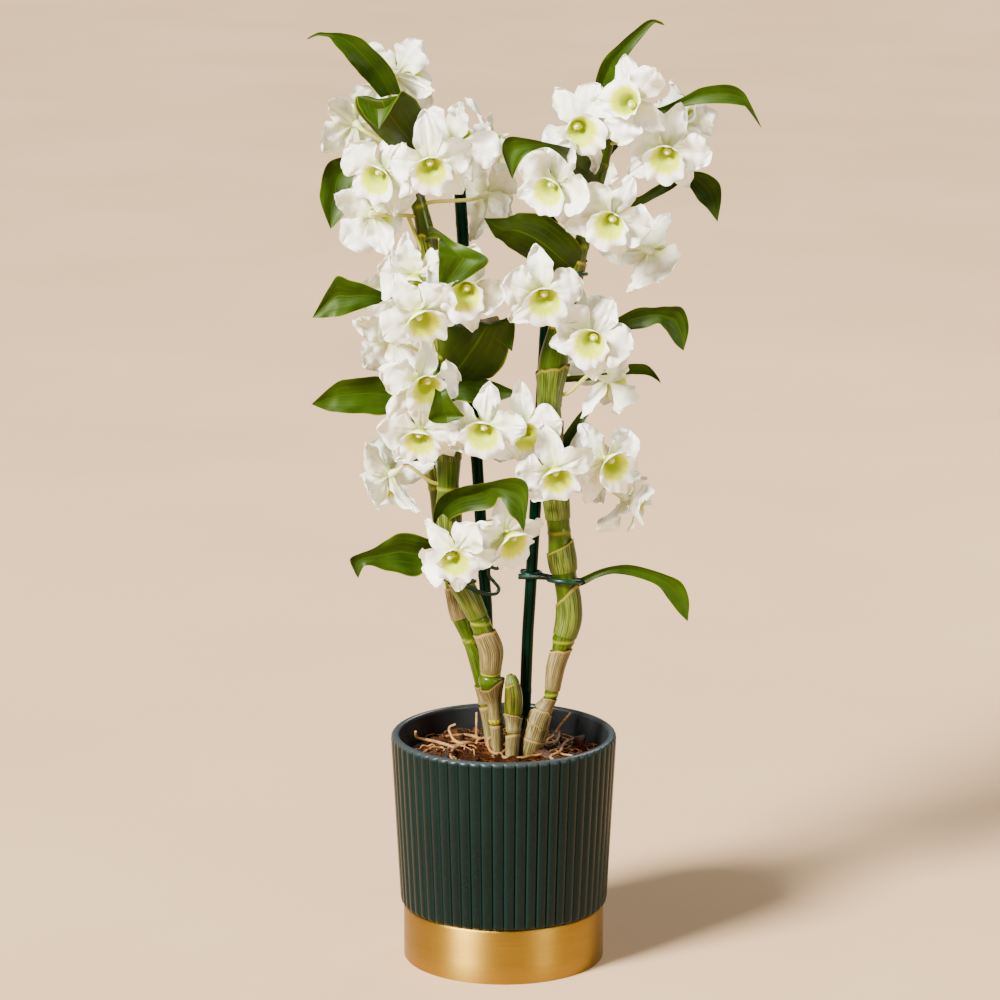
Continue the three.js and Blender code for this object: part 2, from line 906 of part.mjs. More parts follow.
function clip({ cane: caneMiddle, loop, stake: stakeMiddle, hold }) {
  const [a, b] = [point(caneMiddle), point(stakeMiddle)];
  const ring = (middle, radius) =>
    solid(new THREE.TorusGeometry(radius, CLIP_WIRE, 4, 9).translate(...middle.toArray()));
  const apart = b.clone().sub(a).normalize();
  const from = a.clone().addScaledVector(apart, loop);
  const to = b.clone().addScaledVector(apart, -hold);
  return joined([ring(a, loop), ring(b, hold), tube([from, to], 1.5, 4)]);
}

// --- Bark and roots --------------------------------------------------------------------

const ROOTS = [
  [[-12, 8, 115], [-17, 15, 130], [-14, 21, 133], [-6, 21, 134]],
  [[-17, 15, 130], [-22, 12, 133], [-30, 5, 132], [-33, -11, 132], [-30, -26, 132]],
  [[-22, 12, 133], [-28, 12, 133], [-32, 16, 135], [-34, 21, 140], [-30, 22, 142]],
  [[-30, 5, 132], [-42, 14, 133], [-48, 22, 132], [-54, 20, 134], [-55, 16, 139]],
  [[4, 0, 122], [2, 2, 131], [-2, -9, 132], [-8, -6, 133], [-10, 4, 136], [-7, 7, 139]],
  [[-2, -9, 132], [1, -18, 132], [10, -18, 132], [17, -14, 132], [25, -9, 132], [36, 6, 132]],
  [[36, 6, 132], [39, 14, 133], [47, 26, 132]],
  [[36, 6, 132], [35, -4, 132], [29, -12, 131], [34, -26, 131]],
  [[22, 5, 117], [26, 14, 132], [31, 27, 133], [35, 38, 136], [42, 38, 145]],
  [[26, 14, 132], [33, 18, 132], [35, 34, 134]],
  [[-14, 21, 133], [-17, 28, 132], [-17, 36, 135], [-17, 42, 144]],
  [[-17, 28, 132], [-24, 33, 132], [-36, 30, 132]],
];
const ROOT_RADIUS = 1.3;

function rootMass(extra = 0) {
  const rhizome = tube(
    [[-12, 8, 114], [-4, 2, 119], [6, -4, 121], [14, -2, 120], [22, 2, 114]].map(point),
    [4, 7, 8, 8, 4].map((radius) => radius + extra),
    8,
  );
  const roots = ROOTS.map((path) => {
    const radii = path.map((_, i) => ROOT_RADIUS * (1.15 - 0.5 * (i / path.length)) + extra);
    return tube(path.map(point), radii, 4);
  });
  return joined([rhizome, ...roots]);
}

function barkMix() {
  const scatter = makeScatter(7);
  const count = 24;
  const fill = NURSERY.mouth - NURSERY.wall - 0.6;
  // The heap stands higher towards the back left.
  const heaped = (radius, z) =>
    circle(radius, z, count).map((p) => p.setZ(z + (BARK.rise * (p.y - p.x)) / fill));
  const bed = stackOfRings([
    circle(NURSERY.foot - NURSERY.wall - 1, NURSERY.bottom + NURSERY.wall + GAP, count),
    circle(fill, NURSERY.rim + 0.6, count),
    circle(fill + 2.6, NURSERY.rim + 1.6, count),
    heaped(fill + 1.4, BARK.rim),
    heaped(fill * 0.72, BARK.top),
  ]);
  const chips = Array.from({ length: BARK.chips }, (_, i) => {
    const turn = i * 2.4;
    const reach = (fill - 19) * Math.sqrt((i + 0.5) / BARK.chips);
    const size = BARK.chip.map((value) => value * (1 + 0.3 * scatter()));
    const box = new THREE.BoxGeometry(...size)
      .rotateX(0.22 * scatter())
      .rotateY(0.22 * scatter())
      .rotateZ(3 * scatter());
    const lift = BARK.top - 1 + 1.2 * scatter();
    return solid(box.translate(reach * Math.cos(turn), reach * Math.sin(turn), lift));
  });
  return joined([bed, ...chips]);
}

// --- Assembly --------------------------------------------------------------------------

const group = new THREE.Group();
const placed = []; // what stands already: each piece as built and a little fatter

function add(name, body, finish) {
  const mesh = body.getMesh();
  const geometry = new THREE.BufferGeometry();
  geometry.setAttribute("position", new THREE.BufferAttribute(mesh.vertProperties, 3));
  geometry.setIndex(new THREE.BufferAttribute(mesh.triVerts, 1));
  const flat = geometry.toNonIndexed();
  flat.computeVertexNormals();
  const node = new THREE.Mesh(flat, new THREE.MeshStandardMaterial(FINISH[finish]));
  node.name = name;
  group.add(node);
}

// Cuts a piece clear of everything that stands already, and keeps its main body.
function clearOfPlaced(body) {
  const cut = placed
    .filter((fat) => !fat.intersect(body).isEmpty())
    .reduce((rest, fat) => rest.subtract(fat), body);
  return largestBody(cut);
}

add("pot_body", potBody(), "glaze");
add("base_band", baseBand(), "gold");
add("nursery_pot", nurseryPot(), "plastic");

for (const name of Object.keys(STAKES)) {
  add(`stake_${name}`, stake(name), "stake");
  placed.push(stake(name, GAP));
}

for (const name of Object.keys(CANES)) {
  const leaves = LEAVES[name] ?? [];
  const body = joined([cane(name), ...leaves.map((one) => leaf(one))]);
  add(`cane_${name}`, clearOfPlaced(body), name === "short" ? "shoot" : "cane");
  placed.push(joined([cane(name, GAP), ...leaves.map((one) => leaf(one, GAP))]));
}

for (const [name, place] of Object.entries(CLIPS)) {
  const body = clip(place);
  add(name, clearOfPlaced(body), "clip");
  placed.push(body);
}

add("root_mass", clearOfPlaced(rootMass()), "root");
add("bark_mix", clearOfPlaced(barkMix().subtract(rootMass(GAP))), "bark");

for (const [name, place] of Object.entries(SPRAYS)) {
  add(name, clearOfPlaced(spray(place)), "petal");
  placed.push(spray(place, PETAL_GAP));
}

export default group;
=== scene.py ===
# %% [markdown]
# # A dendrobium orchid in a ribbed cover pot
#
# The real object is a living plant in a glazed pot. White blooms stand on short stalks along
# two long canes, which are tied to thin stakes, and pale roots loop over the bark at their
# feet. The solids of all this are already packed, each in its place. This notebook gives each
# of them a finer skin in the same place. Lengths are written in millimetres, and each piece
# is scaled to metres when it is finished. The floor and the lamps are given in metres.

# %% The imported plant
import bisect
import math
import random

import bmesh
import bpy
from mathutils import Matrix, Vector, noise


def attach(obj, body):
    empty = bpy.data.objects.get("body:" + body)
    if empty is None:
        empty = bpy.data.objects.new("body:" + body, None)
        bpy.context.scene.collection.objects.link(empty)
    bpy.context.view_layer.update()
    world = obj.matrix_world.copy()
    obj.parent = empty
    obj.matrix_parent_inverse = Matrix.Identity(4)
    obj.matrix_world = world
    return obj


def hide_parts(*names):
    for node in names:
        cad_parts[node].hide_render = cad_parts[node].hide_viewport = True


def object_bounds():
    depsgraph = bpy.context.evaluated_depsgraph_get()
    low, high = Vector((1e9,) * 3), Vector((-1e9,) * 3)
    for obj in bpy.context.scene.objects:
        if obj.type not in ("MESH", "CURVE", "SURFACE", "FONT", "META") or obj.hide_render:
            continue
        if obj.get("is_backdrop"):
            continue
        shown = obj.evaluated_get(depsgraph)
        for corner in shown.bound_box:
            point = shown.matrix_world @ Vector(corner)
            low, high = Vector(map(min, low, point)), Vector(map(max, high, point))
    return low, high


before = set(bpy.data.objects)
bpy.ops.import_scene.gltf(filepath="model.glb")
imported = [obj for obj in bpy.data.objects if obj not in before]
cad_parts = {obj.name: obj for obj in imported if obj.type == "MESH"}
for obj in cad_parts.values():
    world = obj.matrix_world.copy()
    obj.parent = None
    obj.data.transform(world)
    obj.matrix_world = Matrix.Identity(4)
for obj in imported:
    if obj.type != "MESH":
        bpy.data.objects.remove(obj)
solid_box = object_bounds()
MM = 0.001
print(len(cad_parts), "solids, up to", round(solid_box[1].z * 1000), "mm high")

# %% [markdown]
# ## The camera
#
# A plant this size is best seen from far away through a long lens, because a short lens near
# by would make the front blooms swell. The camera stands 2.6 m in front, a third of a metre
# above the highest leaf, and looks down by 13 degrees so that the inside of the pot shows.

# %% Camera
CAMERA_SPOT = Vector((-2.3, -2642, 910))
CAMERA_LOOKS_DOWN = 13.18
FOCAL_LENGTH = 159.4


def new_object(name, data):
    """An object in the scene that shows the given mesh, lamp or camera."""
    made = bpy.data.objects.new(name, data)
    bpy.context.scene.collection.objects.link(made)
    return made


lens = bpy.data.cameras.new("portrait_lens")
lens.lens = FOCAL_LENGTH
lens.sensor_width = 36
lens.clip_end = 60
camera = new_object("camera", lens)
camera.location = CAMERA_SPOT * MM
camera.rotation_euler = (math.radians(90 - CAMERA_LOOKS_DOWN), 0, 0)
bpy.context.scene.camera = camera
print("camera", round((camera.location - Vector((0, 0, 0.3))).length, 2), "m from the plant")

# %% [markdown]
# ## Helpers for every mesh
#
# Petals, leaves, canes and the pot are all skins with two directions: round and up, or across
# and along. Blender's grid operator makes a flat skin with a UV map, and a formula then moves
# each of its corners to its place. That is quicker to shape than an extruded profile, and the
# UV map comes along, so that veins and brush marks can follow the surface later.

# %% A grid laid over a formula
SAME_SPOT = 1e-3


def new_mesh():
    bm = bmesh.new()
    bm.loops.layers.uv.new("UVMap")
    return bm


def lay(bm, columns, rows, place, look=0):
    """A skin of columns by rows. place(u, v) gives the spot for two shares from 0 to 1."""
    made = bmesh.ops.create_grid(
        bm, x_segments=columns, y_segments=rows, size=0.5, calc_uvs=True
    )["verts"]
    for face in {face for vert in made for face in vert.link_faces}:
        face.material_index = look
    for vert in made:
        vert.co = place(vert.co.x + 0.5, vert.co.y + 0.5)
    bmesh.ops.remove_doubles(bm, verts=made, dist=SAME_SPOT)
    return [vert for vert in made if vert.is_valid]


# %% [markdown]
# Petals, leaves and papery sheaths are thin, and their edges are thinner still. Such a piece
# is laid twice: once as its front, and once as a back that stands behind it by the thickness
# of the wall. The back meets the front all along the edge, where the two are merged.

# %% A thin sheet with fine edges
def sheet(bm, columns, rows, place, wall, front_look=0, back_look=0, closed=False):
    """wall is the full thickness. closed says that the sheet runs round into itself."""
    spots = [[place(i / columns, j / rows) for i in range(columns + 1)] for j in range(rows + 1)]

    def front(u, v):
        return spots[round(v * rows)][round(u * columns)]

    def back(u, v):
        i, j = columns - round(u * columns), round(v * rows)
        if closed:
            left, right, rim = (i - 1) % columns, (i + 1) % columns, min(j, rows - j)
        else:
            left, right = max(i - 1, 0), min(i + 1, columns)
            rim = min(i, columns - i, j, rows - j)
        across = spots[j][right] - spots[j][left]
        along = spots[min(j + 1, rows)][i] - spots[max(j - 1, 0)][i]
        return spots[j][i] - across.cross(along).normalized() * wall * min(1, rim / 2)

    both = lay(bm, columns, rows, front, front_look) + lay(bm, columns, rows, back, back_look)
    bmesh.ops.remove_doubles(bm, verts=both, dist=SAME_SPOT)


# %% [markdown]
# Every piece is finished in the same way. Faces are shaded smooth, and only edges that fold by
# more than a given corner stay sharp. Then the mesh is scaled, takes its finishes, rides on
# the plant's one body, and hides the imported solids it stands for.

# %% Finishing a piece
def settle(bm, name, materials, stands_for=(), corner=50):
    """Turns a bmesh in millimetres into a finished piece that rides on the root body."""
    for edge in bm.edges:
        edge.smooth = edge.calc_face_angle(0) < math.radians(corner)
    for face in bm.faces:
        face.smooth = True
    bmesh.ops.scale(bm, vec=(MM, MM, MM), verts=bm.verts)
    mesh = bpy.data.meshes.new(name)
    bm.to_mesh(mesh)
    bm.free()
    for material in materials:
        mesh.materials.append(material)
    piece = new_object(name, mesh)
    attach(piece, "root")
    if stands_for:
        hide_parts(*stands_for)
    triangles = sum(len(face.vertices) - 2 for face in mesh.polygons)
    print(name, triangles, "triangles")


# %% [markdown]
# A stem, root or stake is a round skin along a smooth line. A Catmull-Rom curve is used for
# the line, because it goes through every given point. The radius is carried along as a fourth
# number, so it swells and shrinks as smoothly as the line bends.

# %% Smooth lines and tubes
def smooth(points, count):
    """count + 1 places on a curve through all the points, which may hold any numbers."""
    last = len(points) - 1
    found = []
    for k in range(count + 1):
        at = last * k / count
        i = min(int(at), last - 1)
        s = at - i
        near = [points[max(i - 1, 0)], points[i], points[i + 1], points[min(i + 2, last)]]
        found.append(
            [
                b + 0.5 * s * (c - a + s * (2 * a - 5 * b + 4 * c - d + s * (3 * (b - c) + d - a)))
                for a, b, c, d in zip(*near)
            ]
        )
    return found


def stations(rows, toward=Vector((1, 0.3, 0.2))):
    """The middle, the radius and three directions at each row of x, y, z and radius."""
    middles = [Vector(row[:3]) for row in rows]
    found = []
    for i, middle in enumerate(middles):
        along = middles[min(i + 1, len(rows) - 1)] - middles[max(i - 1, 0)]
        along.normalize()
        toward = (toward - along * toward.dot(along)).normalized()
        found.append((middle, rows[i][3], along, toward, along.cross(toward)))
    return found


def round_skin(bm, line, sides, look=0):
    """A tube over a list of stations. A station of radius 0 closes it at either end."""
    first, last = [(middle, 0.0, *directions) for middle, _, *directions in (line[0], line[-1])]
    line = [first, *line, last]

    def place(u, v):
        middle, radius, _, toward, beside = line[round(v * (len(line) - 1))]
        turn = 2 * math.pi * u
        return middle + radius * (toward * math.cos(turn) + beside * math.sin(turn))

    lay(bm, sides, len(line) - 1, place, look)


def tube(bm, points, radii, sides, steps, look=0):
    """A tube through points, with a radius given at each of them."""
    rows = [(*point, radius) for point, radius in zip(points, radii)]
    round_skin(bm, stations(smooth(rows, steps)), sides, look)


# %% [markdown]
# ## Helpers for every finish
#
# Each finish is a Principled shader with a few procedural nodes before it. Two effects come
# back in many of them, so they are built once as node groups: lines that run along a skin,
# such as veins, wood grain and brush marks, and soft blotches of any size.

# %% Colours and node groups
def paint(red, green, blue):
    """A colour given in the usual 0 to 255 steps, made linear for the shader."""
    return tuple((value / 255) ** 2.2 for value in (red, green, blue)) + (1.0,)


def new_group(name, numbers, output):
    """An empty node group that takes a vector and numbers, and gives out one mask."""
    group = bpy.data.node_groups.new(name, "ShaderNodeTree")
    group.interface.new_socket("Vector", in_out="INPUT", socket_type="NodeSocketVector")
    for number in numbers:
        group.interface.new_socket(number, in_out="INPUT", socket_type="NodeSocketFloat")
    group.interface.new_socket(output, in_out="OUTPUT", socket_type="NodeSocketFloat")
    entry = group.nodes.new("NodeGroupInput")
    leave = group.nodes.new("NodeGroupOutput")
    return group, entry, leave


def build_lines():
    """Noise that is stretched by its own amount across a skin and along it."""
    group, entry, leave = new_group("Lines", ["Across", "Along", "Detail"], "Line")
    scale = group.nodes.new("ShaderNodeCombineXYZ")
    stretch = group.nodes.new("ShaderNodeVectorMath")
    stretch.operation = "MULTIPLY"
    grain = group.nodes.new("ShaderNodeTexNoise")
    grain.inputs["Scale"].default_value = 1.0
    grain.inputs["Roughness"].default_value = 0.6
    group.links.new(entry.outputs["Across"], scale.inputs["X"])
    group.links.new(entry.outputs["Along"], scale.inputs["Y"])
    group.links.new(entry.outputs["Vector"], stretch.inputs[0])
    group.links.new(scale.outputs["Vector"], stretch.inputs[1])
    group.links.new(stretch.outputs["Vector"], grain.inputs["Vector"])
    group.links.new(entry.outputs["Detail"], grain.inputs["Detail"])
    group.links.new(grain.outputs["Fac"], leave.inputs["Line"])
    return group


def build_blotches():
    """Cloudy noise, with the part between Low and High spread out from 0 to 1."""
    group, entry, leave = new_group("Blotches", ["Scale", "Low", "High"], "Mask")
    cloud = group.nodes.new("ShaderNodeTexNoise")
    cloud.inputs["Detail"].default_value = 4.0
    span = group.nodes.new("ShaderNodeMapRange")
    group.links.new(entry.outputs["Vector"], cloud.inputs["Vector"])
    group.links.new(entry.outputs["Scale"], cloud.inputs["Scale"])
    group.links.new(cloud.outputs["Fac"], span.inputs["Value"])
    group.links.new(entry.outputs["Low"], span.inputs["From Min"])
    group.links.new(entry.outputs["High"], span.inputs["From Max"])
    group.links.new(span.outputs["Result"], leave.inputs["Mask"])
    return group


LINES = build_lines()
BLOTCHES = build_blotches()
print("node groups:", LINES.name, BLOTCHES.name)

# %% [markdown]
# In the shader editor a finish is wired by dragging links between nodes. A script has to name
# both ends of each link, which takes many lines, so a small class holds the few steps that
# come back in every finish. Each step gives out a socket, which the next step takes in.

# %% A small kit for wiring a finish
class Finish:
    """A new material, with short ways to add the nodes that several finishes need."""

    def __init__(self, name, roughness, **sockets):
        self.material = bpy.data.materials.new(name)
        self.material.use_nodes = True
        self.tree = self.material.node_tree
        self.shader = self.tree.nodes["Principled BSDF"]
        self.shader.inputs["Roughness"].default_value = roughness
        for socket, value in sockets.items():
            self.shader.inputs[socket.replace("_", " ")].default_value = value
        self.where = self.tree.nodes.new("ShaderNodeTexCoord")
        print("finish:", name)

    def feed(self, socket, value):
        """Links another node's socket to this one, or sets this one to a plain value."""
        if isinstance(value, bpy.types.NodeSocket):
            self.tree.links.new(value, socket)
        else:
            socket.default_value = value

    def axis(self, coordinates, direction):
        split = self.tree.nodes.new("ShaderNodeSeparateXYZ")
        self.tree.links.new(self.where.outputs[coordinates], split.inputs[0])
        return split.outputs[direction]

    def group(self, group, coordinates, **numbers):
        node = self.tree.nodes.new("ShaderNodeGroup")
        node.node_tree = group
        self.tree.links.new(self.where.outputs[coordinates], node.inputs["Vector"])
        for name, value in numbers.items():
            node.inputs[name].default_value = value
        return node.outputs[0]

    def ramp(self, value, stops):
        """stops holds pairs of a position and a colour, or a position and a shade of grey."""
        node = self.tree.nodes.new("ShaderNodeValToRGB")
        while len(node.color_ramp.elements) < len(stops):
            node.color_ramp.elements.new(1.0)
        for element, (position, colour) in zip(node.color_ramp.elements, stops):
            element.position = position
            grey = (colour, colour, colour, 1.0)
            element.color = colour if isinstance(colour, tuple) else grey
        self.tree.links.new(value, node.inputs["Fac"])
        return node.outputs["Color"]

    def mix(self, share, first, second, blend="MIX"):
        node = self.tree.nodes.new("ShaderNodeMix")
        node.data_type = "RGBA"
        node.blend_type = blend
        # a Mix node keeps its sockets for colours after those for numbers and vectors
        for socket, value in ((0, share), (6, first), (7, second)):
            self.feed(node.inputs[socket], value)
        return node.outputs[2]

    def compute(self, first, operation, second=0.0):
        node = self.tree.nodes.new("ShaderNodeMath")
        node.operation = operation
        self.feed(node.inputs[0], first)
        self.feed(node.inputs[1], second)
        return node.outputs[0]

    def colour(self, socket):
        self.tree.links.new(socket, self.shader.inputs["Base Color"])

    def rough(self, value, low, high):
        """Roughness runs from low where the value is 0 to high where it is 1."""
        span = self.tree.nodes.new("ShaderNodeMapRange")
        span.inputs["To Min"].default_value = low
        span.inputs["To Max"].default_value = high
        self.tree.links.new(value, span.inputs["Value"])
        self.tree.links.new(span.outputs["Result"], self.shader.inputs["Roughness"])

    def bump(self, height, strength, distance):
        """distance is how deep the relief is, in millimetres."""
        node = self.tree.nodes.new("ShaderNodeBump")
        node.inputs["Strength"].default_value = strength
        node.inputs["Distance"].default_value = distance * MM
        self.tree.links.new(height, node.inputs["Height"])
        self.tree.links.new(node.outputs["Normal"], self.shader.inputs["Normal"])


# %% [markdown]
# ## Floor and light
#
# A plain pale floor and soft lights flatter white petals. Most of the light is a sun that
# comes from high at the front left, so that it falls evenly on the whole floor. Its disc is
# made wide, because a small one would draw hard shadows. A lamp in the same direction puts a
# soft shine on the glaze, a weaker one fills the right side, and one behind gives leaves and
# petals a bright edge.

# %% Floor
FLOOR_REACH = 20
floor_mesh = bmesh.new()
bmesh.ops.create_grid(floor_mesh, x_segments=1, y_segments=1, size=FLOOR_REACH)
floor_data = bpy.data.meshes.new("floor")
floor_mesh.to_mesh(floor_data)
floor_mesh.free()
floor = new_object("floor", floor_data)
floor_finish = Finish("floor_plaster", 0.9)
floor_cloud = floor_finish.group(BLOTCHES, "Object", Scale=3.0, Low=0.3, High=0.7)
floor_finish.colour(floor_finish.mix(floor_cloud, paint(190, 156, 117), paint(198, 164, 125)))
floor_data.materials.append(floor_finish.material)
floor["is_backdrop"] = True
print("floor", 2 * FLOOR_REACH, "m wide")

# %% Lights
WARM_WHITE = (1.0, 0.98, 0.96)
PALE_WHITE = (1.0, 0.99, 0.97)


def soft_light(name, spot, aim, size, power, tint=WARM_WHITE):
    """A round lamp of the given size, turned from its spot towards its aim."""
    lamp = bpy.data.lights.new(name, "AREA")
    lamp.shape = "DISK"
    lamp.size = size
    lamp.energy = power
    lamp.color = tint
    holder = new_object(name, lamp)
    holder.location = spot
    holder.rotation_euler = (Vector(aim) - Vector(spot)).to_track_quat("-Z", "Y").to_euler()
    return holder


key = soft_light("key_light", (-1.7, -1.5, 1.9), (0, 0, 0.32), size=0.9, power=90)
soft_light("fill_light", (1.9, -1.8, 0.8), (0, 0, 0.25), size=0.9, power=32)
soft_light("back_light", (0.9, 1.7, 1.8), (0, 0, 0.35), size=0.8, power=24, tint=PALE_WHITE)
day = bpy.data.lights.new("day_light", "SUN")
day.energy = 13.9
day.angle = math.radians(16)
day.color = (1.0, 0.98, 0.95)
new_object("day_light", day).rotation_euler = key.rotation_euler
world = bpy.data.worlds.new("studio")
world.use_nodes = True
world.node_tree.nodes["Background"].inputs["Color"].default_value = (0.97, 0.98, 1.0, 1)
world.node_tree.nodes["Background"].inputs["Strength"].default_value = 0.25
bpy.context.scene.world = world
print("four lights and a pale sky")

# %% [markdown]
# ## The cover pot
#
# The pot is slip-cast and glazed: convex upright ribs with narrow grooves between them, round
# at both ends, under a thick smooth rim. It is turned from one outline, with the ribs as a
# small wave in the radius. Cutting sixty grooves with booleans would be slower, and their
# edges would be hard where the glaze makes them soft.

# %% Turning an outline into a vessel
def turned(bm, outline, columns, ripple=None):
    """Turns rows of radius, height and share of the ripple about the upright axis."""

    def place(u, v):
        radius, height, share = outline[round(v * (len(outline) - 1))]
        if ripple:
            radius += share * ripple(u)
        turn = 2 * math.pi * u
        return Vector((radius * math.cos(turn), radius * math.sin(turn), height))

    lay(bm, columns, len(outline) - 1, place)


# %% [markdown]
# The outline starts at the middle of the foot, runs up the outside, over the rim and down to
# the inner floor. Its third number says how much of the ribs a row takes: all of them on the
# side, none on the foot and inside, and a little less from row to row where they run out.

# %% The outline and its ribs
RIBS = 60
RIB_DEPTH = 1.7
RIB_ARC = 0.97
INNER_FLOOR = 7
# the side leans out by 5.4 mm over its 101 mm, in six steps
RIB_SIDE = [(64.5 + 5.4 * k / 6, 38.4 + 101 * k / 6, 1) for k in range(7)]
POT_OUTLINE = [
    (0, 0.4, 0), (58, 0.4, 0), (59.6, 0.0, 0), (60.4, 0.6, 0), (60.4, 34.4, 0),
    (61.6, 34.9, 0), (63.0, 35.2, 0.4), (63.9, 35.9, 0.8), (64.3, 36.9, 1), *RIB_SIDE,
    (69.95, 140.6, 1), (69.9, 141.4, 0.85), (69.6, 142.2, 0.6), (69.1, 142.8, 0.3),
    (68.4, 143.2, 0.08), (67.6, 143.45, 0), (66.8, 143.5, 0), (66.0, 143.4, 0),
    (65.2, 143.0, 0), (64.7, 142.2, 0), (64.6, 141.2, 0), (64.5, 138, 0), (62.6, 100, 0),
    (60.4, 50, 0), (58.8, 14, 0), (57.6, 9, 0), (54, 7.2, 0), (0, INNER_FLOOR, 0),
]


def rib_wave(u):
    """Each rib is an arc, cut off just short of a half circle so that grooves stay narrow."""
    across = 2 * ((u * RIBS) % 1.0) - 1
    fall = 1 - math.sqrt(1 - RIB_ARC * across**2)
    return -RIB_DEPTH * fall / (1 - math.sqrt(1 - RIB_ARC))


print(len(POT_OUTLINE), "rows for", RIBS, "ribs")

# %% [markdown]
# The glaze is a very dark green-grey. Both edges of every rib are painted paler as a highlight,
# and the rim is painted a paler grey as a reflection of the light above it. Where a rib's edge
# lies is read from u, and the rim is found by its height.

# %% Glazes
RIM_START = 140.5
RIM_BLEND = 2.5
glaze = Finish(
    "green_grey_glaze", 0.24, Specular_IOR_Level=0.2, Specular_Tint=(0.6, 0.88, 1.0, 1.0)
)
glaze_cloud = glaze.group(BLOTCHES, "Object", Scale=16.0, Low=0.3, High=0.75)
glaze_speck = glaze.group(BLOTCHES, "Object", Scale=520.0, Low=0.5, High=0.85)
glaze_tone = glaze.mix(glaze_cloud, paint(9, 17, 15), paint(13, 24, 21))
glaze_tone = glaze.mix(glaze_speck, glaze_tone, paint(14, 30, 27))
rib_share = glaze.compute(glaze.compute(glaze.axis("UV", "X"), "MULTIPLY", RIBS), "PINGPONG", 1.0)
# painted highlight: a paler line along both edges of every rib
rib_edge_highlight = glaze.ramp(
    rib_share, [(0.0, 0.0), (0.08, 0.9), (0.2, 0.0), (0.8, 0.0), (0.92, 0.9)]
)
glaze_tone = glaze.mix(rib_edge_highlight, glaze_tone, paint(20, 36, 33))
above_start = glaze.compute(glaze.axis("Object", "Z"), "SUBTRACT", RIM_START * MM)
rim_share = glaze.compute(above_start, "DIVIDE", RIM_BLEND * MM)
# painted reflection: the top of the pot is painted a paler grey
rim_painted_reflection = glaze.ramp(rim_share, [(0.0, 0.0), (0.9, 1.0)])
glaze.colour(glaze.mix(rim_painted_reflection, glaze_tone, paint(47, 53, 53)))
glaze.rough(glaze_cloud, 0.26, 0.36)
glaze.bump(glaze_speck, 0.12, 0.05)
inner_glaze = Finish("inner_glaze", 0.3)
inner_cloud = inner_glaze.group(BLOTCHES, "Object", Scale=24.0, Low=0.3, High=0.7)
inner_glaze.colour(inner_glaze.mix(inner_cloud, paint(29, 31, 31), paint(41, 43, 42)))

# %% [markdown]
# Twelve columns to a rib are enough for a round arc and a sharp groove. The inside takes its
# own plainer glaze. Its faces look towards the axis, or lie just over the inner floor.

# %% The ribbed pot
COLUMNS_A_RIB = 12
INSIDE = 1
pot = new_mesh()
turned(pot, POT_OUTLINE, RIBS * COLUMNS_A_RIB, rib_wave)
pot.normal_update()
for face in pot.faces:
    middle = face.calc_center_median()
    inward = face.normal.xy.dot(middle.xy.normalized()) < -0.3
    on_floor = middle.z < INNER_FLOOR + 2
    if middle.z > INNER_FLOOR - 0.1 and (inward or on_floor):
        face.material_index = INSIDE
settle(pot, "pot_glazed", [glaze.material, inner_glaze.material], ["pot_body"])

# %% [markdown]
# ## The gold band
#
# The foot wears a thin sleeve of satin gold. It has been brushed round the pot, so its grain
# is drawn out along u and kept short along v. A metal this smooth gets its looks from that
# grain and from what it mirrors.

# %% The gold band
BAND_OUTLINE = [
    (60.95, 0.3, 0), (61.3, 0.0, 0), (62.0, 0.0, 0), (62.4, 0.4, 0), (62.4, 12, 0),
    (62.4, 24, 0), (62.4, 33.0, 0), (62.25, 33.8, 0), (61.9, 34.35, 0), (61.4, 34.55, 0),
    (61.0, 34.4, 0), (60.95, 33.8, 0), (60.95, 0.3, 0),
]
gold = Finish("brushed_gold", 0.38, Metallic=1.0, Anisotropic=0.85, Anisotropic_Rotation=0.25)
gold_grain = gold.group(LINES, "UV", Across=14.0, Along=420.0, Detail=3.0)
gold_wide = gold.group(LINES, "UV", Across=5.0, Along=60.0, Detail=2.0)
gold_tone = gold.mix(gold_wide, paint(164, 132, 50), paint(186, 152, 66))
gold.colour(gold.mix(gold_grain, gold_tone, paint(148, 115, 40)))
gold.rough(gold_grain, 0.36, 0.5)
gold.bump(gold_grain, 0.5, 0.1)
band = new_mesh()
turned(band, BAND_OUTLINE, columns=160)
settle(band, "band_gold", [gold.material], ["base_band"])

# %% [markdown]
# ## The nursery pot
#
# The plant stands in a thin clear pot that is hidden but for glints of its rim. It is turned
# as the cover pot was. Its outline goes up the outside and down the inside, so the plastic
# has real thickness and catches the light along its edges.

# %% The clear pot
NURSERY_OUTLINE = [
    (0, 7.4, 0), (50, 7.4, 0), (52, 8.2, 0), (56.6, 66, 0), (61.0, 123.6, 0), (61.6, 124.6, 0),
    (62.3, 124.9, 0), (62.7, 125.5, 0), (62.4, 126.2, 0), (61.6, 126.3, 0), (60.6, 125.6, 0),
    (60.2, 124, 0), (55.8, 66, 0), (51, 8.8, 0), (49.6, 8.2, 0), (0, 8.2, 0),
]
plastic = Finish("clear_plastic", 0.12, Alpha=0.35)
plastic_haze = plastic.group(BLOTCHES, "Object", Scale=60.0, Low=0.4, High=0.7)
plastic.colour(plastic.mix(plastic_haze, paint(196, 200, 196), paint(226, 230, 226)))
nursery = new_mesh()
turned(nursery, NURSERY_OUTLINE, columns=96)
settle(nursery, "nursery_clear", [plastic.material], ["nursery_pot"])

# %% [markdown]
# ## Bark
#
# Orchid bark is a heap of split chips, damp and red-brown, with coir fibres among them. Each
# chip starts as a cube that is stretched, turned and pushed out of square. One bevel then
# softens all of them, and a bed below closes the gaps. Each chip has its own place in the
# grain pattern, so no two show the same streaks.

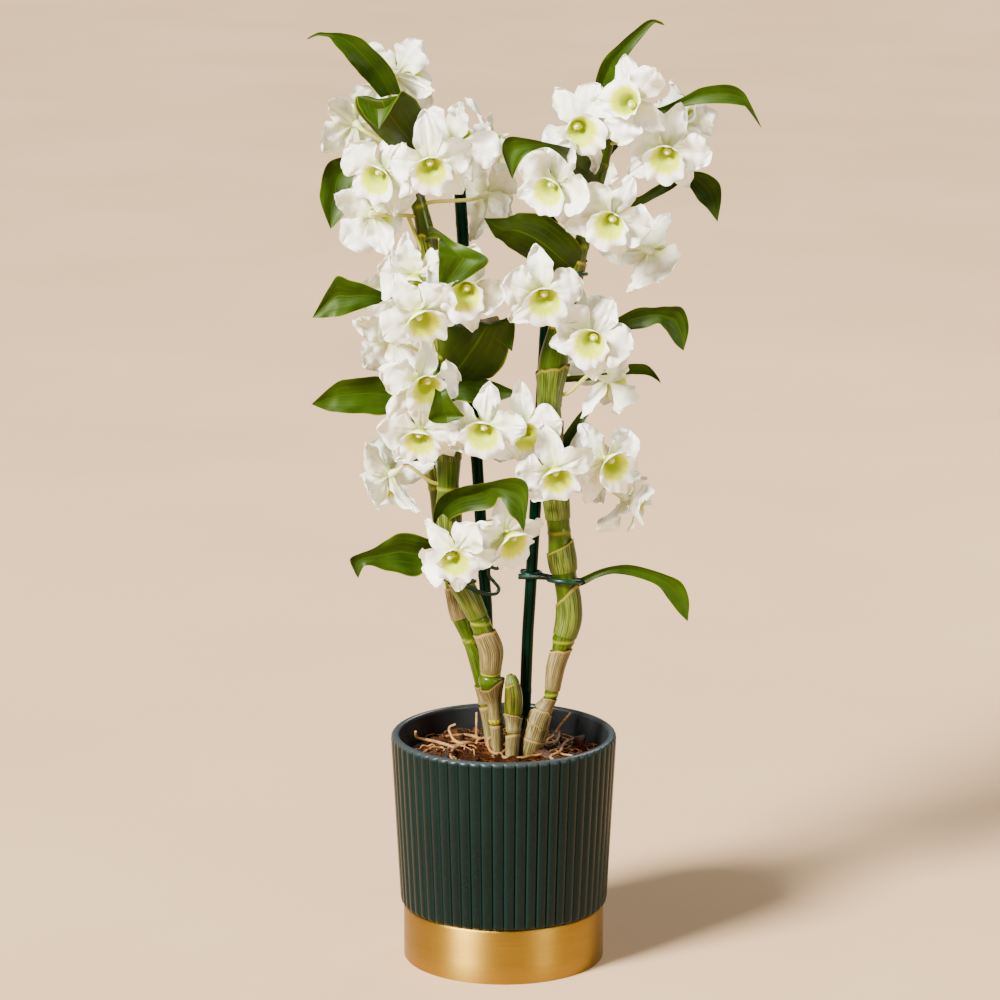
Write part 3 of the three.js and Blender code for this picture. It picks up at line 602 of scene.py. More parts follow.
# %% The bed and the chips
SEED = 11
CHIPS = 340
GOLDEN_TURN = 2.39996
CHIP_HEIGHT = 125.6
HEAP_REACH = 60.5
BED_OUTLINE = [(0, 9, 0), (50, 9, 0), (60, 123.4, 0), (61.6, 126.8, 0), (61.0, 127.6, 0)]
BED_OUTLINE += [(58 - 7 * k, 127.4, 0) for k in range(8)] + [(0, 127.4, 0)]
chance = random.Random(SEED)
bark = new_mesh()
turned(bark, BED_OUTLINE, columns=48)
for k in range(CHIPS):
    # turning on by the golden angle spreads the chips evenly over the round heap
    turn = GOLDEN_TURN * k + chance.uniform(-0.3, 0.3)
    reach = HEAP_REACH * math.sqrt((k + 0.5) / CHIPS)
    size = Vector((chance.uniform(8, 19), chance.uniform(5, 11), chance.uniform(3, 6.5)))
    # chips by the wall are small enough to fit, and every ninth of the others is a big one
    if reach > 54:
        size *= 0.6
    elif k % 9 == 0:
        size *= 1.5
    height = CHIP_HEIGHT + 1.4 * math.sin(2.1 * turn) + chance.uniform(-2.2, 1.6)
    lie = Matrix.Rotation(chance.uniform(0, 6.3), 4, "Z")
    lie @= Matrix.Rotation(chance.gauss(0, 0.42), 4, "X")
    lie @= Matrix.Rotation(chance.gauss(0, 0.36), 4, "Y")
    spot = Matrix.Translation((reach * math.cos(turn), reach * math.sin(turn), height))
    chip = bmesh.ops.create_cube(
        bark, size=1, matrix=spot @ lie @ Matrix.Diagonal((*size, 1)), calc_uvs=True
    )["verts"]
    for vert in chip:
        vert.co += Vector([chance.uniform(-1.2, 1.2) for _ in range(3)])
    shift = Vector((chance.uniform(0, 40), chance.uniform(0, 40)))
    for face in {face for vert in chip for face in vert.link_faces}:
        for loop in face.loops:
            loop[bark.loops.layers.uv.active].uv += shift
# only a chip's corners join three edges, so the bed keeps its own shape
chip_edges = [edge for edge in bark.edges if len(edge.verts[0].link_edges) == 3]
bmesh.ops.bevel(
    bark, geom=chip_edges, offset=0.7, affect="EDGES", segments=1, profile=0.5, material=-1
)
print(CHIPS, "chips with", len(chip_edges), "edges")

# %% [markdown]
# Coir fibres are thin, stiff and springy, so each is a three-sided tube in a shallow arc.
# Some of the inner ones are moved over, so that more of them lie to the left. A fibre that
# would run into the wall of the pot is left out.

# %% Coir
FIBRES = 420
FIBRE_REACH = 57
COIR = 1
for _ in range(FIBRES):
    turn = chance.uniform(0, 6.28)
    reach = FIBRE_REACH * math.sqrt(chance.random())
    x = reach * math.cos(turn) - (10 if chance.random() < 0.4 and reach < 45 else 0)
    start = Vector((x, reach * math.sin(turn), chance.uniform(129.8, 132.4)))
    heading = chance.uniform(0, 6.28)
    path = [start.copy()]
    for _ in range(3):
        heading += chance.uniform(-0.6, 0.6)
        stride = chance.uniform(2, 4.5)
        step = Vector((math.cos(heading), math.sin(heading), chance.uniform(-0.16, 0.1)))
        path.append(path[-1] + step * stride)
    if all(spot.xy.length < 60 for spot in path):
        tube(bark, path, [0.28, 0.26, 0.22, 0.12], sides=3, steps=5, look=COIR)

# %% [markdown]
# Bark is streaked along its fibres, from nearly black to red-brown, and it is damp in places.
# The streaks drive its colour, its relief and how much it shines. Coir is plainer.

# %% Finishes of the bark
bark_chips = Finish(
    "damp_bark", 0.5, Specular_IOR_Level=0.26, Specular_Tint=(1, 0.66, 0.4, 1)
)
bark_grain = bark_chips.group(LINES, "UV", Across=52.0, Along=9.0, Detail=6.0)
bark_cloud = bark_chips.group(BLOTCHES, "Object", Scale=70.0, Low=0.35, High=0.65)
bark_tone = bark_chips.ramp(
    bark_grain,
    [(0.34, paint(9, 4, 1)), (0.46, paint(34, 16, 4)), (0.58, paint(66, 35, 11)),
     (0.72, paint(106, 60, 20))],
)
bark_chips.colour(bark_chips.mix(bark_cloud, bark_tone, paint(28, 11, 2)))
bark_chips.rough(bark_grain, 0.2, 0.65)
bark_chips.bump(bark_grain, 0.9, 0.9)
coir = Finish("coir_fibre", 0.6, Specular_IOR_Level=0.25)
coir_cloud = coir.group(BLOTCHES, "Object", Scale=90.0, Low=0.35, High=0.65)
coir.colour(coir.mix(coir_cloud, paint(116, 66, 20), paint(60, 30, 8)))
settle(bark, "bark_heap", [bark_chips.material, coir.material], ["bark_mix"])

# %% [markdown]
# ## Roots
#
# Living orchid roots are round and even, with a papery tan skin, and they wander in gentle
# bends over the bark. Each is one tube along a smooth line, a little thinner at its tip.
# Many branch off another root, and so start at a point of it. All of them come from the
# rhizome, a thick stem that lies in the bark and joins the canes.

# %% The main roots
ROOTS = [
    [(-12, 8, 115), (-17, 15, 130), (-14, 21, 133), (-6, 21, 134)],
    [(-17, 15, 130), (-22, 12, 133), (-30, 5, 132), (-33, -11, 132), (-30, -26, 132)],
    [(-22, 12, 133), (-28, 12, 133), (-32, 16, 135), (-34, 21, 140), (-30, 22, 142)],
    [(-30, 5, 132), (-42, 14, 133), (-48, 22, 132), (-54, 20, 134), (-55, 16, 139)],
    [(4, 0, 122), (2, 2, 131), (-2, -9, 132), (-8, -6, 133), (-10, 4, 136), (-7, 7, 139)],
    [(-2, -9, 132), (1, -18, 132), (10, -18, 132), (17, -14, 132), (25, -9, 132), (36, 6, 132)],
    [(36, 6, 132), (39, 14, 133), (47, 26, 132)],
    [(36, 6, 132), (35, -4, 132), (29, -12, 131), (34, -26, 131)],
    [(22, 5, 117), (26, 14, 132), (31, 27, 133), (35, 38, 136), (42, 38, 145)],
    [(26, 14, 132), (33, 18, 132), (35, 34, 134)],
    [(-14, 21, 133), (-17, 28, 132), (-17, 36, 135), (-17, 42, 144)],
    [(-17, 28, 132), (-24, 33, 132), (-36, 30, 132)],
]
RHIZOME = [(-12, 8, 114), (-4, 2, 119), (6, -4, 121), (14, -2, 120), (22, 2, 114)]
ROOT_RADIUS = 0.98
roots = new_mesh()
tube(roots, RHIZOME, [4, 7, 8, 8, 4], sides=20, steps=24)
for path in ROOTS:
    radii = [ROOT_RADIUS * (1.12 - 0.4 * k / len(path)) for k in range(len(path))]
    tube(roots, path, radii, sides=12, steps=10 * len(path))
print(len(ROOTS), "main roots")

# %% [markdown]
# Finer roots curl between them, most of them on the right. Each takes eight short steps and
# turns a little further the same way at every step. A low noise then moves the skin of all
# the roots, which keeps them from looking like plastic cord.

# %% Fine roots
FINE_ROOTS = 22
ROOT_STEPS = 8
for k in range(FINE_ROOTS):
    turn = chance.uniform(0, 6.28)
    middle = Vector((30, 12)) if k % 3 else Vector((-26, 4))
    heading = chance.uniform(0, 6.28)
    out = Vector((math.cos(turn), math.sin(turn))) * chance.uniform(2, 18)
    at = Vector((*(middle + out), 130.5))
    path = [at - Vector((0, 0, 3))]
    for _ in range(ROOT_STEPS):
        heading += chance.uniform(0.05, 0.55)
        at = at + Vector((math.cos(heading), math.sin(heading), 0)) * chance.uniform(2.5, 4)
        at.z = 131.2 + chance.uniform(-0.6, 1.4)
        path.append(at.copy())
    path[-1].z = 129.5
    if all(spot.xy.length < 56 for spot in path):
        thick = chance.uniform(0.38, 0.66)
        tube(roots, path, [thick] * ROOT_STEPS + [thick * 0.6], sides=9, steps=56)
# noise_vector starts from the clock unless it is seeded, and the roots would change each run
noise.seed_set(SEED)
for vert in roots.verts:
    vert.co += 0.25 * noise.noise_vector(vert.co * 0.35)

# %% [markdown]
# A dry root has fine rings round it. On a tube those run across u and follow each other up v,
# so the lines are kept wide one way and close together the other.

# %% Finish of the roots
root_skin = Finish("papery_root", 0.62)
root_rings = root_skin.group(LINES, "UV", Across=6.0, Along=46.0, Detail=4.0)
root_cloud = root_skin.group(BLOTCHES, "Object", Scale=120.0, Low=0.4, High=0.65)
root_tone = root_skin.ramp(
    root_rings,
    [(0.3, paint(82, 52, 20)), (0.5, paint(142, 100, 52)), (0.7, paint(180, 140, 86))],
)
root_skin.colour(root_skin.mix(root_cloud, root_tone, paint(104, 68, 30)))
root_skin.bump(root_rings, 0.4, 0.2)
settle(roots, "roots_over_bark", [root_skin.material], ["root_mass"])

# %% [markdown]
# ## Stakes and clips
#
# The canes are tied to two thin rods of glossy dark green. A rod of this sort is moulded with
# faint knuckles, like a bamboo twig, so its radius swells a little at even distances. It
# bends with its cane, and its top is drawn in.

# %% Stakes
STAKES = {
    "stake_left": [(-9.6, 28, 92), (-10.2, 24, 200), (-13.5, 17, 262), (-26.8, 14, 483)],
    "stake_right": [(11.6, 22, 92), (14.5, 18, 190), (17.5, 16, 247), (31.7, 20, 505)],
}
STAKE_RADIUS = 3.7
KNUCKLE_GAP = 74
rod_green = Finish(
    "rod_green", 0.22, Specular_IOR_Level=0.1, Specular_Tint=(0.5, 1.0, 0.85, 1)
)
rod_streak = rod_green.group(LINES, "UV", Across=10.0, Along=12.0, Detail=3.0)
rod_green.colour(rod_green.mix(rod_streak, paint(0, 14, 9), paint(1, 46, 34)))
rod_green.rough(rod_streak, 0.15, 0.3)
for name, path in STAKES.items():
    rod = new_mesh()
    rows = smooth([(*spot, STAKE_RADIUS) for spot in path], 260)
    for row in rows:
        from_knuckle = (row[2] + 20) % KNUCKLE_GAP - KNUCKLE_GAP / 2
        row[3] += 0.22 * math.exp(-(from_knuckle / 1.6) ** 2)
    rows[-1][3] *= 0.7
    round_skin(rod, stations(rows), sides=24)
    settle(rod, name.replace("stake", "rod"), [rod_green.material], [name])

# %% [markdown]
# The clips are bent from green plastic wire. A clip is a ring round the cane, a smaller one
# round the rod, and a bar between them. A ring is a grid too: u runs round the wire and v
# round the ring.

# %% Clips
WIRE_SIDES = 10


def ring(bm, middle, radius, wire, tilt=(0, 0, 1)):
    """A wire ring about a middle, its axis along tilt."""
    axis = Vector(tilt).normalized()
    first = axis.cross(Vector((0, 1, 0))).normalized()
    second = axis.cross(first)

    def place(u, v):
        turn = 2 * math.pi * v
        out = first * math.cos(turn) + second * math.sin(turn)
        swing = 2 * math.pi * u
        return middle + out * (radius + wire * math.cos(swing)) + axis * wire * math.sin(swing)

    lay(bm, WIRE_SIDES, 48, place)


CLIPS = {
    # the cane's ring and its radius, the rod's ring and its radius, and the wire's radius
    "clip_left": ((-27, -6, 242), 9.6, (-12.4, 18.4, 246), 5.0, 1.0),
    "clip_right": ((38, -2, 241), 10.4, (17.3, 16, 241), 5.2, 1.6),
    "clip_upper": ((42, 2, 432), 8.2, (27.6, 19, 432), 5.0, 1.2),
}
CLIP_ENDS = {
    # the wire that is left over: a curl round the left rod, and a straight end on the right
    "clip_left": [
        (-36, -10, 247), (-28, -14, 244), (-20, -13, 239), (-12, -7, 234), (-5, 0, 232),
        (-3, 6, 234), (-6, 10, 237), (-9, 10, 241), (-9, 9, 246), (-7, 8, 251),
        (-4, 7, 252), (-2, 7, 249), (-4, 8, 246), (-8, 8, 247),
    ],
    "clip_right": [(30, 5, 241), (22, 9, 240.5), (14, 11.5, 240), (9, 12, 240)],
}
clip_green = Finish("clip_green", 0.36, Specular_IOR_Level=0.3)
clip_cloud = clip_green.group(BLOTCHES, "Object", Scale=160.0, Low=0.35, High=0.65)
clip_green.colour(clip_green.mix(clip_cloud, paint(1, 32, 24), paint(3, 52, 38)))
clip_green.rough(clip_cloud, 0.28, 0.45)

# %% Building the clips
for name, (cane_spot, loop, rod_spot, hold, wire) in CLIPS.items():
    clip = new_mesh()
    near, far = Vector(cane_spot), Vector(rod_spot)
    apart = (far - near).normalized()
    ring(clip, near, loop, wire, (0.06, 0.16, 1))
    ring(clip, far, hold, wire)
    bar = [near + apart * loop, far - apart * hold]
    tube(clip, bar, [wire * 1.1, wire * 1.1], WIRE_SIDES, steps=4)
    stub = [far + apart * hold, far + apart * (hold + 3)]
    tube(clip, stub, [wire * 1.3, wire], WIRE_SIDES, steps=4)
    if name in CLIP_ENDS:
        path = CLIP_ENDS[name]
        tube(clip, path, [wire * 1.15] * len(path), WIRE_SIDES, steps=8 * len(path))
    settle(clip, name.replace("clip", "tie"), [clip_green.material], [name])

# %% [markdown]
# ## Canes
#
# A dendrobium cane is a fleshy stem with a joint every few centimetres, thick between joints
# and drawn in at each one. Dry sheaths, the feet of old leaves, wrap parts of it like torn
# paper. The cane is one round skin along a smooth line through the places below, and the
# heights of its joints are listed apart, because its radius and its finish both need them.

# %% The lines of the canes
CANES = {
    # x, y, z and radius, from the foot in the bark to the tip
    "left": [
        (-4, 1, 96, 2.8), (-4, 0, 133, 3.3), (-5, 0, 151, 3.6), (-6, -1, 164, 4.4),
        (-8, -2, 177, 7.6), (-8, -2, 181, 6), (-8, -3, 187, 6.4), (-8, -4, 198, 7.2),
        (-13, -5, 211, 6.2), (-16, -5, 219, 6), (-21, -6, 230, 6.8), (-27, -6, 242, 6.6),
        (-32, -6, 256, 5.8), (-34, -6, 280, 8), (-34, -5, 300, 6.6), (-34, -5, 322, 8),
        (-35, -4, 342, 6.4), (-36, -4, 362, 7.4), (-37, -3, 382, 5.8), (-39, -2, 404, 6.8),
        (-42, -1, 426, 5.2), (-46, 0, 450, 6), (-51, 0, 474, 4.8), (-58, 0, 496, 5),
        (-63, 0, 518, 4), (-66, -1, 540, 2.6),
    ],
    "left_back": [
        (-6, 15, 98, 2.8), (-8, 15, 134, 3.4), (-11, 16, 158, 4.2), (-15, 16, 180, 5.4),
        (-21, 17, 198, 4.6), (-27, 18, 214, 6), (-30, 19, 228, 5.6), (-34, 21, 248, 4.6),
        (-38, 23, 272, 6), (-42, 24, 294, 4.6), (-48, 25, 320, 5.4), (-56, 26, 346, 3.4),
        (-60, 26, 356, 1.6),
    ],
    "short": [
        (5, -12, 98, 2.6), (5, -10, 133, 3.6), (6, -9, 148, 4), (6, -8, 158, 5.2),
        (6, -8, 170, 5), (5, -8, 178, 3.4), (4, -8, 183, 1.2),
    ],
    "right": [
        (16, 0, 98, 4), (16, -2, 128, 6), (17, -3, 136, 7), (20, -4, 146, 7),
        (23, -4, 156, 6.4), (28, -4, 165, 3.9), (30, -4, 172, 4.4), (32, -4, 186, 5.4),
        (35, -3, 196, 5.6), (37, -3, 204, 6.8), (40, -2, 216, 7.8), (40, -2, 228, 7.4),
        (38, -2, 240, 7), (36, -2, 254, 8.6), (34, -2, 272, 7), (32, -1, 292, 7.8),
        (29, -1, 312, 6.4), (28, 0, 334, 8), (28, 0, 354, 7), (30, 0, 376, 9),
        (34, 0, 400, 6.4), (40, 2, 424, 6.4), (47, 3, 449, 4.8), (53, 4, 474, 4.6),
        (60, 5, 498, 3.4), (65, 5, 522, 3.2), (68, 4, 540, 2),
    ],
}
JOINTS = {
    "left": [151, 182, 215, 256, 300, 342, 382, 426, 474, 518],
    "left_back": [158, 198, 248, 294, 346],
    "short": [148, 178],
    "right": [141, 169, 203, 242, 272, 312, 354, 400, 449, 498],
}

# %% [markdown]
# A fine ring swells at each joint, a small wave in the cane's radius. Sheaths and stalks have
# to find the cane again later, so its line is kept in a class that gives the place, the
# radius and the directions of the cane at any height.

# %% A cane that knows its own line
RING_SWELL = 0.45
RING_HALF = 1.2
STEPS_A_SPAN = 12


class Cane:
    """The smooth line of a cane, which can be asked for the place at any height."""

    def __init__(self, name):
        self.rows = smooth(CANES[name], STEPS_A_SPAN * (len(CANES[name]) - 1))
        for row in self.rows:
            for joint in JOINTS[name]:
                row[3] += RING_SWELL * math.exp(-(((row[2] - joint) / RING_HALF) ** 2))
        self.line = stations(self.rows, toward=Vector((0.2, 1, 0)))
        self.heights = [row[2] for row in self.rows]

    def at(self, height):
        i = min(max(bisect.bisect(self.heights, height) - 1, 0), len(self.line) - 2)
        span = self.heights[i + 1] - self.heights[i]
        share = min(max((height - self.heights[i]) / span, 0), 1)
        near, far = self.line[i], self.line[i + 1]
        return [a + (b - a) * share for a, b in zip(near, far)]


canes = {name: Cane(name) for name in CANES}
print({name: len(cane.rows) for name, cane in canes.items()}, "rows")

# %% [markdown]
# A sheath is a shell that stands just off the cane. Its upper edge runs askew and is torn in
# small teeth, and it opens outwards a little towards that edge.

# %% The sheaths of each cane
TAN, STRIPED, RING, OLIVE = 1, 2, 3, 4
SHEATHS = {
    # low, top, look, skew in mm, the side of its highest point, flare, tear
    "left": [
        (120, 149, TAN, 0, 0, 0.1, 0.1), (149.5, 152.5, RING, 0, 0, 0.3, 0.1),
        (152, 177, TAN, 5, 75, 0.9, 0.9), (184, 210, TAN, 3, -40, 0.3, 0.3),
        (219, 243, STRIPED, 7, -60, 0.4, 0.3), (262, 290, STRIPED, 7, 40, 0.4, 0.4),
        (318, 338, OLIVE, 6, -30, 0.5, 0.4), (386, 412, OLIVE, 7, 30, 0.4, 0.4),
        (432, 458, OLIVE, 6, -50, 0.4, 0.4), (478, 500, OLIVE, 6, 40, 0.4, 0.4),
    ],
    "left_back": [
        (120, 157, TAN, 1, 30, 0.2, 0.3), (158, 170, TAN, 3, -60, 0.4, 0.4),
        (212, 231, TAN, 5, -30, 0.4, 0.5), (252, 276, OLIVE, 6, 30, 0.5, 0.4),
        (298, 320, OLIVE, 6, -30, 0.5, 0.4),
    ],
    "short": [
        (120, 146, TAN, 3, 50, 0.2, 0.3), (146, 158, TAN, 3, -50, 0.7, 0.6),
        (158, 178, OLIVE, 2, 50, 0.1, 0.2), (170, 185, STRIPED, 6, -30, 0.8, 0.5),
    ],
    "right": [
        (120, 142, TAN, 2, 0, 0.2, 0.2), (141, 151, TAN, 4, -60, 0.9, 0.8),
        (146, 160, TAN, 4, 60, 0.6, 0.9), (159, 167, TAN, 2, 60, 0.2, 0.2),
        (172, 199, TAN, 5, 60, 0.4, 0.4), (206, 237, STRIPED, 13, 60, 0.4, 0.3),
        (247, 266, STRIPED, 8, 70, 0.5, 0.4), (280, 304, STRIPED, 6, -40, 0.6, 0.5),
        (320, 346, OLIVE, 7, -40, 0.6, 0.5), (350, 377, STRIPED, 8, 60, 1.0, 0.8),
        (398, 402, RING, 1, 60, 0.3, 0.2), (414, 440, OLIVE, 7, 30, 0.5, 0.4),
        (460, 486, OLIVE, 7, -30, 0.4, 0.4),
    ],
}
print(sum(len(sheaths) for sheaths in SHEATHS.values()), "sheaths")

# %% One sheath
SHEATH_WALL = 0.4


def sheath(bm, cane, low, top, look, skew, side, flare, tear):
    """side is the side of its highest point: 0 is the front and 90 the right."""
    highest = math.radians(side)
    seed = low * 0.7

    def place(u, v):
        turn = 2 * math.pi * u
        _, _, _, toward, beside = cane.at(low)
        out = toward * math.cos(turn) + beside * math.sin(turn)
        facing = math.atan2(out.x, -out.y)
        # broad teeth along the torn edge, with smaller ones on them
        rag = tear * noise.noise(Vector((1.6 * math.cos(turn), 1.6 * math.sin(turn), seed)))
        rag += 0.3 * tear * noise.noise(Vector((5 * math.cos(turn), 5 * math.sin(turn), seed)))
        edge = top + 0.5 * skew * math.cos(facing - highest) + 3 * rag - 0.4 * skew
        height = low + (edge - low) * v
        middle, radius, _, toward, beside = cane.at(height)
        out = toward * math.cos(turn) + beside * math.sin(turn)
        off = 0.5 + flare * v**4 + 0.3 * flare * v * noise.noise(out * 2 + Vector((0, 0, seed)))
        return middle + out * (radius + off)

    sheet(bm, 36, 12, place, SHEATH_WALL, look, look, closed=True)


# %% [markdown]
# The green skin of a cane carries fine lengthwise lines, which are drawn from the UV map, whose
# v runs up the cane. Its joints are yellower. An attribute named joint, which the mesh will
# carry, tells the finish where they are.

# %% Finish of the green skin
green_skin = Finish(
    "cane_green", 0.28, Specular_IOR_Level=0.3, Specular_Tint=(0.9, 1, 0.6, 1)
)
green_veins = green_skin.group(LINES, "UV", Across=34.0, Along=14.0, Detail=4.0)
green_cloud = green_skin.group(BLOTCHES, "Object", Scale=45.0, Low=0.35, High=0.7)
green_tone = green_skin.ramp(
    green_veins, [(0.32, paint(24, 38, 0)), (0.55, paint(52, 70, 0)), (0.75, paint(88, 102, 4))]
)
green_tone = green_skin.mix(green_cloud, green_tone, paint(52, 70, 0))
joint_mark = green_skin.tree.nodes.new("ShaderNodeAttribute")
joint_mark.attribute_name = "joint"
green_skin.colour(green_skin.mix(joint_mark.outputs["Fac"], green_tone, paint(128, 128, 40)))
green_skin.bump(green_veins, 0.25, 0.2)

# %% [markdown]
# Sheaths are green and striped while they live, and dry to tan paper with darker veins. All
# four kinds are wired alike: veins up the cane, stains in blotches, a pale band below the
# torn edge and a thin burnt line on it.

# %% Finishes of the sheaths
def sheath_finish(name, dark, light, pale, edge, roughness, fine, stain, burnt):
    """dark, light and pale are the colours of the veins, and fine says how many there are."""
    finish = Finish(name, roughness, Specular_IOR_Level=0.25)
    veins = finish.group(LINES, "UV", Across=fine, Along=1.0, Detail=2.0)
    cloud = finish.group(BLOTCHES, "Object", Scale=90.0, Low=0.42, High=0.66)
    tone = finish.ramp(veins, [(0.36, dark), (0.47, light), (0.6, pale)])
    tone = finish.mix(finish.compute(cloud, "MULTIPLY", 0.45), tone, stain)
    pale_band = finish.ramp(finish.axis("UV", "Y"), [(0.9, 0.0), (0.95, 1.0)])
    tone = finish.mix(pale_band, tone, edge)
    burnt_line = finish.ramp(finish.axis("UV", "Y"), [(0.965, 0.0), (0.99, 1.0)])
    finish.colour(finish.mix(burnt_line, tone, burnt))
    finish.bump(veins, 0.6, 0.3)
    return finish


tan_paper = sheath_finish(
    "sheath_tan", paint(44, 36, 12), paint(88, 76, 38), paint(137, 122, 77),
    paint(142, 120, 70), 0.55, fine=84.0, stain=paint(80, 60, 28), burnt=paint(84, 48, 14),
)
striped_paper = sheath_finish(
    "sheath_striped", paint(28, 40, 0), paint(61, 74, 6), paint(107, 115, 42),
    paint(120, 116, 44), 0.45, fine=64.0, stain=paint(52, 68, 4), burnt=paint(92, 66, 16),
)
olive_paper = sheath_finish(
    "sheath_olive", paint(26, 32, 0), paint(54, 62, 2), paint(88, 92, 18),
    paint(122, 112, 34), 0.34, fine=40.0, stain=paint(64, 46, 8), burnt=paint(92, 60, 12),
)
ring_skin = sheath_finish(
    "joint_ring", paint(92, 84, 4), paint(124, 112, 10), paint(164, 150, 36),
    paint(168, 152, 50), 0.28, fine=14.0, stain=paint(112, 102, 8), burnt=paint(128, 98, 24),
)
CANE_FINISHES = [
    green_skin.material, tan_paper.material, striped_paper.material, ring_skin.material,
    olive_paper.material,
]

# %% [markdown]
# Now each cane can be built: first its skin, then the joint attribute, which is strongest at a
# joint and fades within a millimetre or two, and last its sheaths. The short new cane in the
# middle is a shoot.

# %% Building the canes
CANE_SIDES = 28
for name, cane in canes.items():
    stem = new_mesh()
    round_skin(stem, cane.line, CANE_SIDES)
    mark = stem.verts.layers.float.new("joint")
    for vert in stem.verts:
        near = min(abs(vert.co.z - joint) for joint in JOINTS[name])
        vert[mark] = 0.8 * math.exp(-((near / 0.8) ** 2))
    for one in SHEATHS[name]:
        sheath(stem, cane, *one)
    settle(stem, f"stem_{name}", CANE_FINISHES, [f"cane_{name}"])

# %% [markdown]
# ## Leaves
#
# A dendrobium leaf is a leathery blade, glossy on top and duller below, folded along its midrib.
# Old leaves bend over sharply and twist, so each blade is stretched between its two edges.
# A few places along both edges are given, and a smooth curve joins them. The left cane has
# eleven leaves on its front.

# %% Leaves of the left cane
LEAVES = {
    # x and z of one edge, x and z of the other, and the depth y of both, from foot to tip
    "left": [
        # the tall pointed leaf at the top
        [(-74, 539, -61, 541, 0), (-82, 549, -65, 554, -4), (-88, 556, -70, 562, -7),
         (-94, 564, -77, 569, -8), (-100, 571, -85, 576, -8), (-104, 576, -96, 579, -7),
         (-108, 577, -105, 579, -6), (-112, 577, -111, 579, -6), (-118, 575, -118, 575, -6)],
        # the broad one below it, whose end folds over
        [(-56, 503, -61, 500, -3), (-44, 514, -60, 505, -12), (-45, 524, -68, 513, -20),
         (-48, 535, -79, 524, -29), (-53, 543, -87, 537, -34), (-60, 547, -87, 547, -37),
         (-64, 542, -86, 541, -41), (-68, 536, -81, 533, -44), (-74, 527, -74, 527, -45)],
        # one that hangs behind the highest blooms
        [(-57, 486, -59, 492, 2), (-67, 489, -70, 497, 5), (-80, 489, -83, 502, 9),
         (-90, 486, -98, 502, 11), (-94, 479, -107, 497, 10), (-94, 471, -111, 484, 9),
         (-98, 465, -111, 474, 8), (-105, 458, -105, 458, 8)],
        # one in the middle that hangs over its own crest
        [(-48, 457, -48, 452, -5), (-44, 464, -45, 457, -18), (-38, 463, -39, 459, -30),
         (-27, 458, -39, 459, -44), (-9, 450, -39, 454, -51), (-17, 441, -39, 446, -50),
         (-28, 434, -39, 437, -47), (-38, 428, -38, 428, -44)],
        # the upper one to the left
        [(-42, 418, -42, 424, -2), (-64, 415, -65, 419, -4), (-75, 415, -75, 423, -7),
         (-83, 413, -84, 427, -9), (-94, 409, -93, 430, -10), (-102, 407, -101, 432, -10),
         (-109, 406, -106, 425, -8), (-116, 406, -116, 406, -6)],
        # the lower one to the left
        [(-37, 356, -37, 363, -3), (-52, 351, -50, 364, -4), (-65, 347, -64, 367, -5),
         (-74, 346, -73, 370, -7), (-83, 347, -80, 371, -8), (-92, 347, -90, 370, -9),
         (-101, 348, -99, 368, -9), (-108, 349, -106, 363, -8), (-117, 353, -117, 353, -8)],
        # the large one by the left rod
        [(-30, 362, -37, 364, -3), (-22, 367, -37, 374, -5), (-14, 367, -40, 386, -8),
         (-5, 372, -40, 396, -11), (3, 387, -34, 403, -14), (5, 409, -20, 406, -17),
         (7, 402, -10, 400, -19), (5, 388, 5, 388, -20)],
        # one behind it to the right
        [(-38, 366, -38, 360, -4), (-33, 372, -34, 357, -7), (-24, 373, -25, 355, -9),
         (-13, 370, -14, 354, -10), (-2, 366, -4, 355, -10), (10, 360, 10, 360, -10)],
        # a small one that hangs in front of it
        [(-38, 376, -40, 376, -10), (-36, 377, -40, 377, -30), (-35, 372, -41, 371, -45),
         (-32, 366, -42, 365, -50), (-26, 358, -45, 356, -51), (-24, 354, -44, 351, -50),
         (-34, 350, -34, 350, -49)],
        # the low one over the left rod
        [(-40, 270, -35, 267, -5), (-43, 285, -34, 281, -14), (-38, 299, -22, 290, -23),
         (-25, 306, -7, 294, -30), (-14, 310, -3, 301, -36), (0, 314, 0, 298, -40),
         (12, 314, 4, 292, -43), (15, 304, 8, 288, -44), (12, 282, 12, 282, -44)],
        # the lowest one to the left
        [(-37, 258, -36, 264, -6), (-46, 253, -44, 269, -12), (-53, 247, -52, 273, -16),
         (-63, 249, -63, 275, -18), (-73, 251, -72, 270, -18), (-80, 254, -80, 265, -18),
         (-85, 254, -88, 262, -18), (-87, 251, -94, 258, -18), (-89, 246, -89, 246, -17)],
    ],
}
print(len(LEAVES["left"]), "leaves in front on the left")

# %% [markdown]
# The right cane has nine, written in the same way. Its lowest leaf grows out at the clip,
# arches over and ends in a drooping tip.

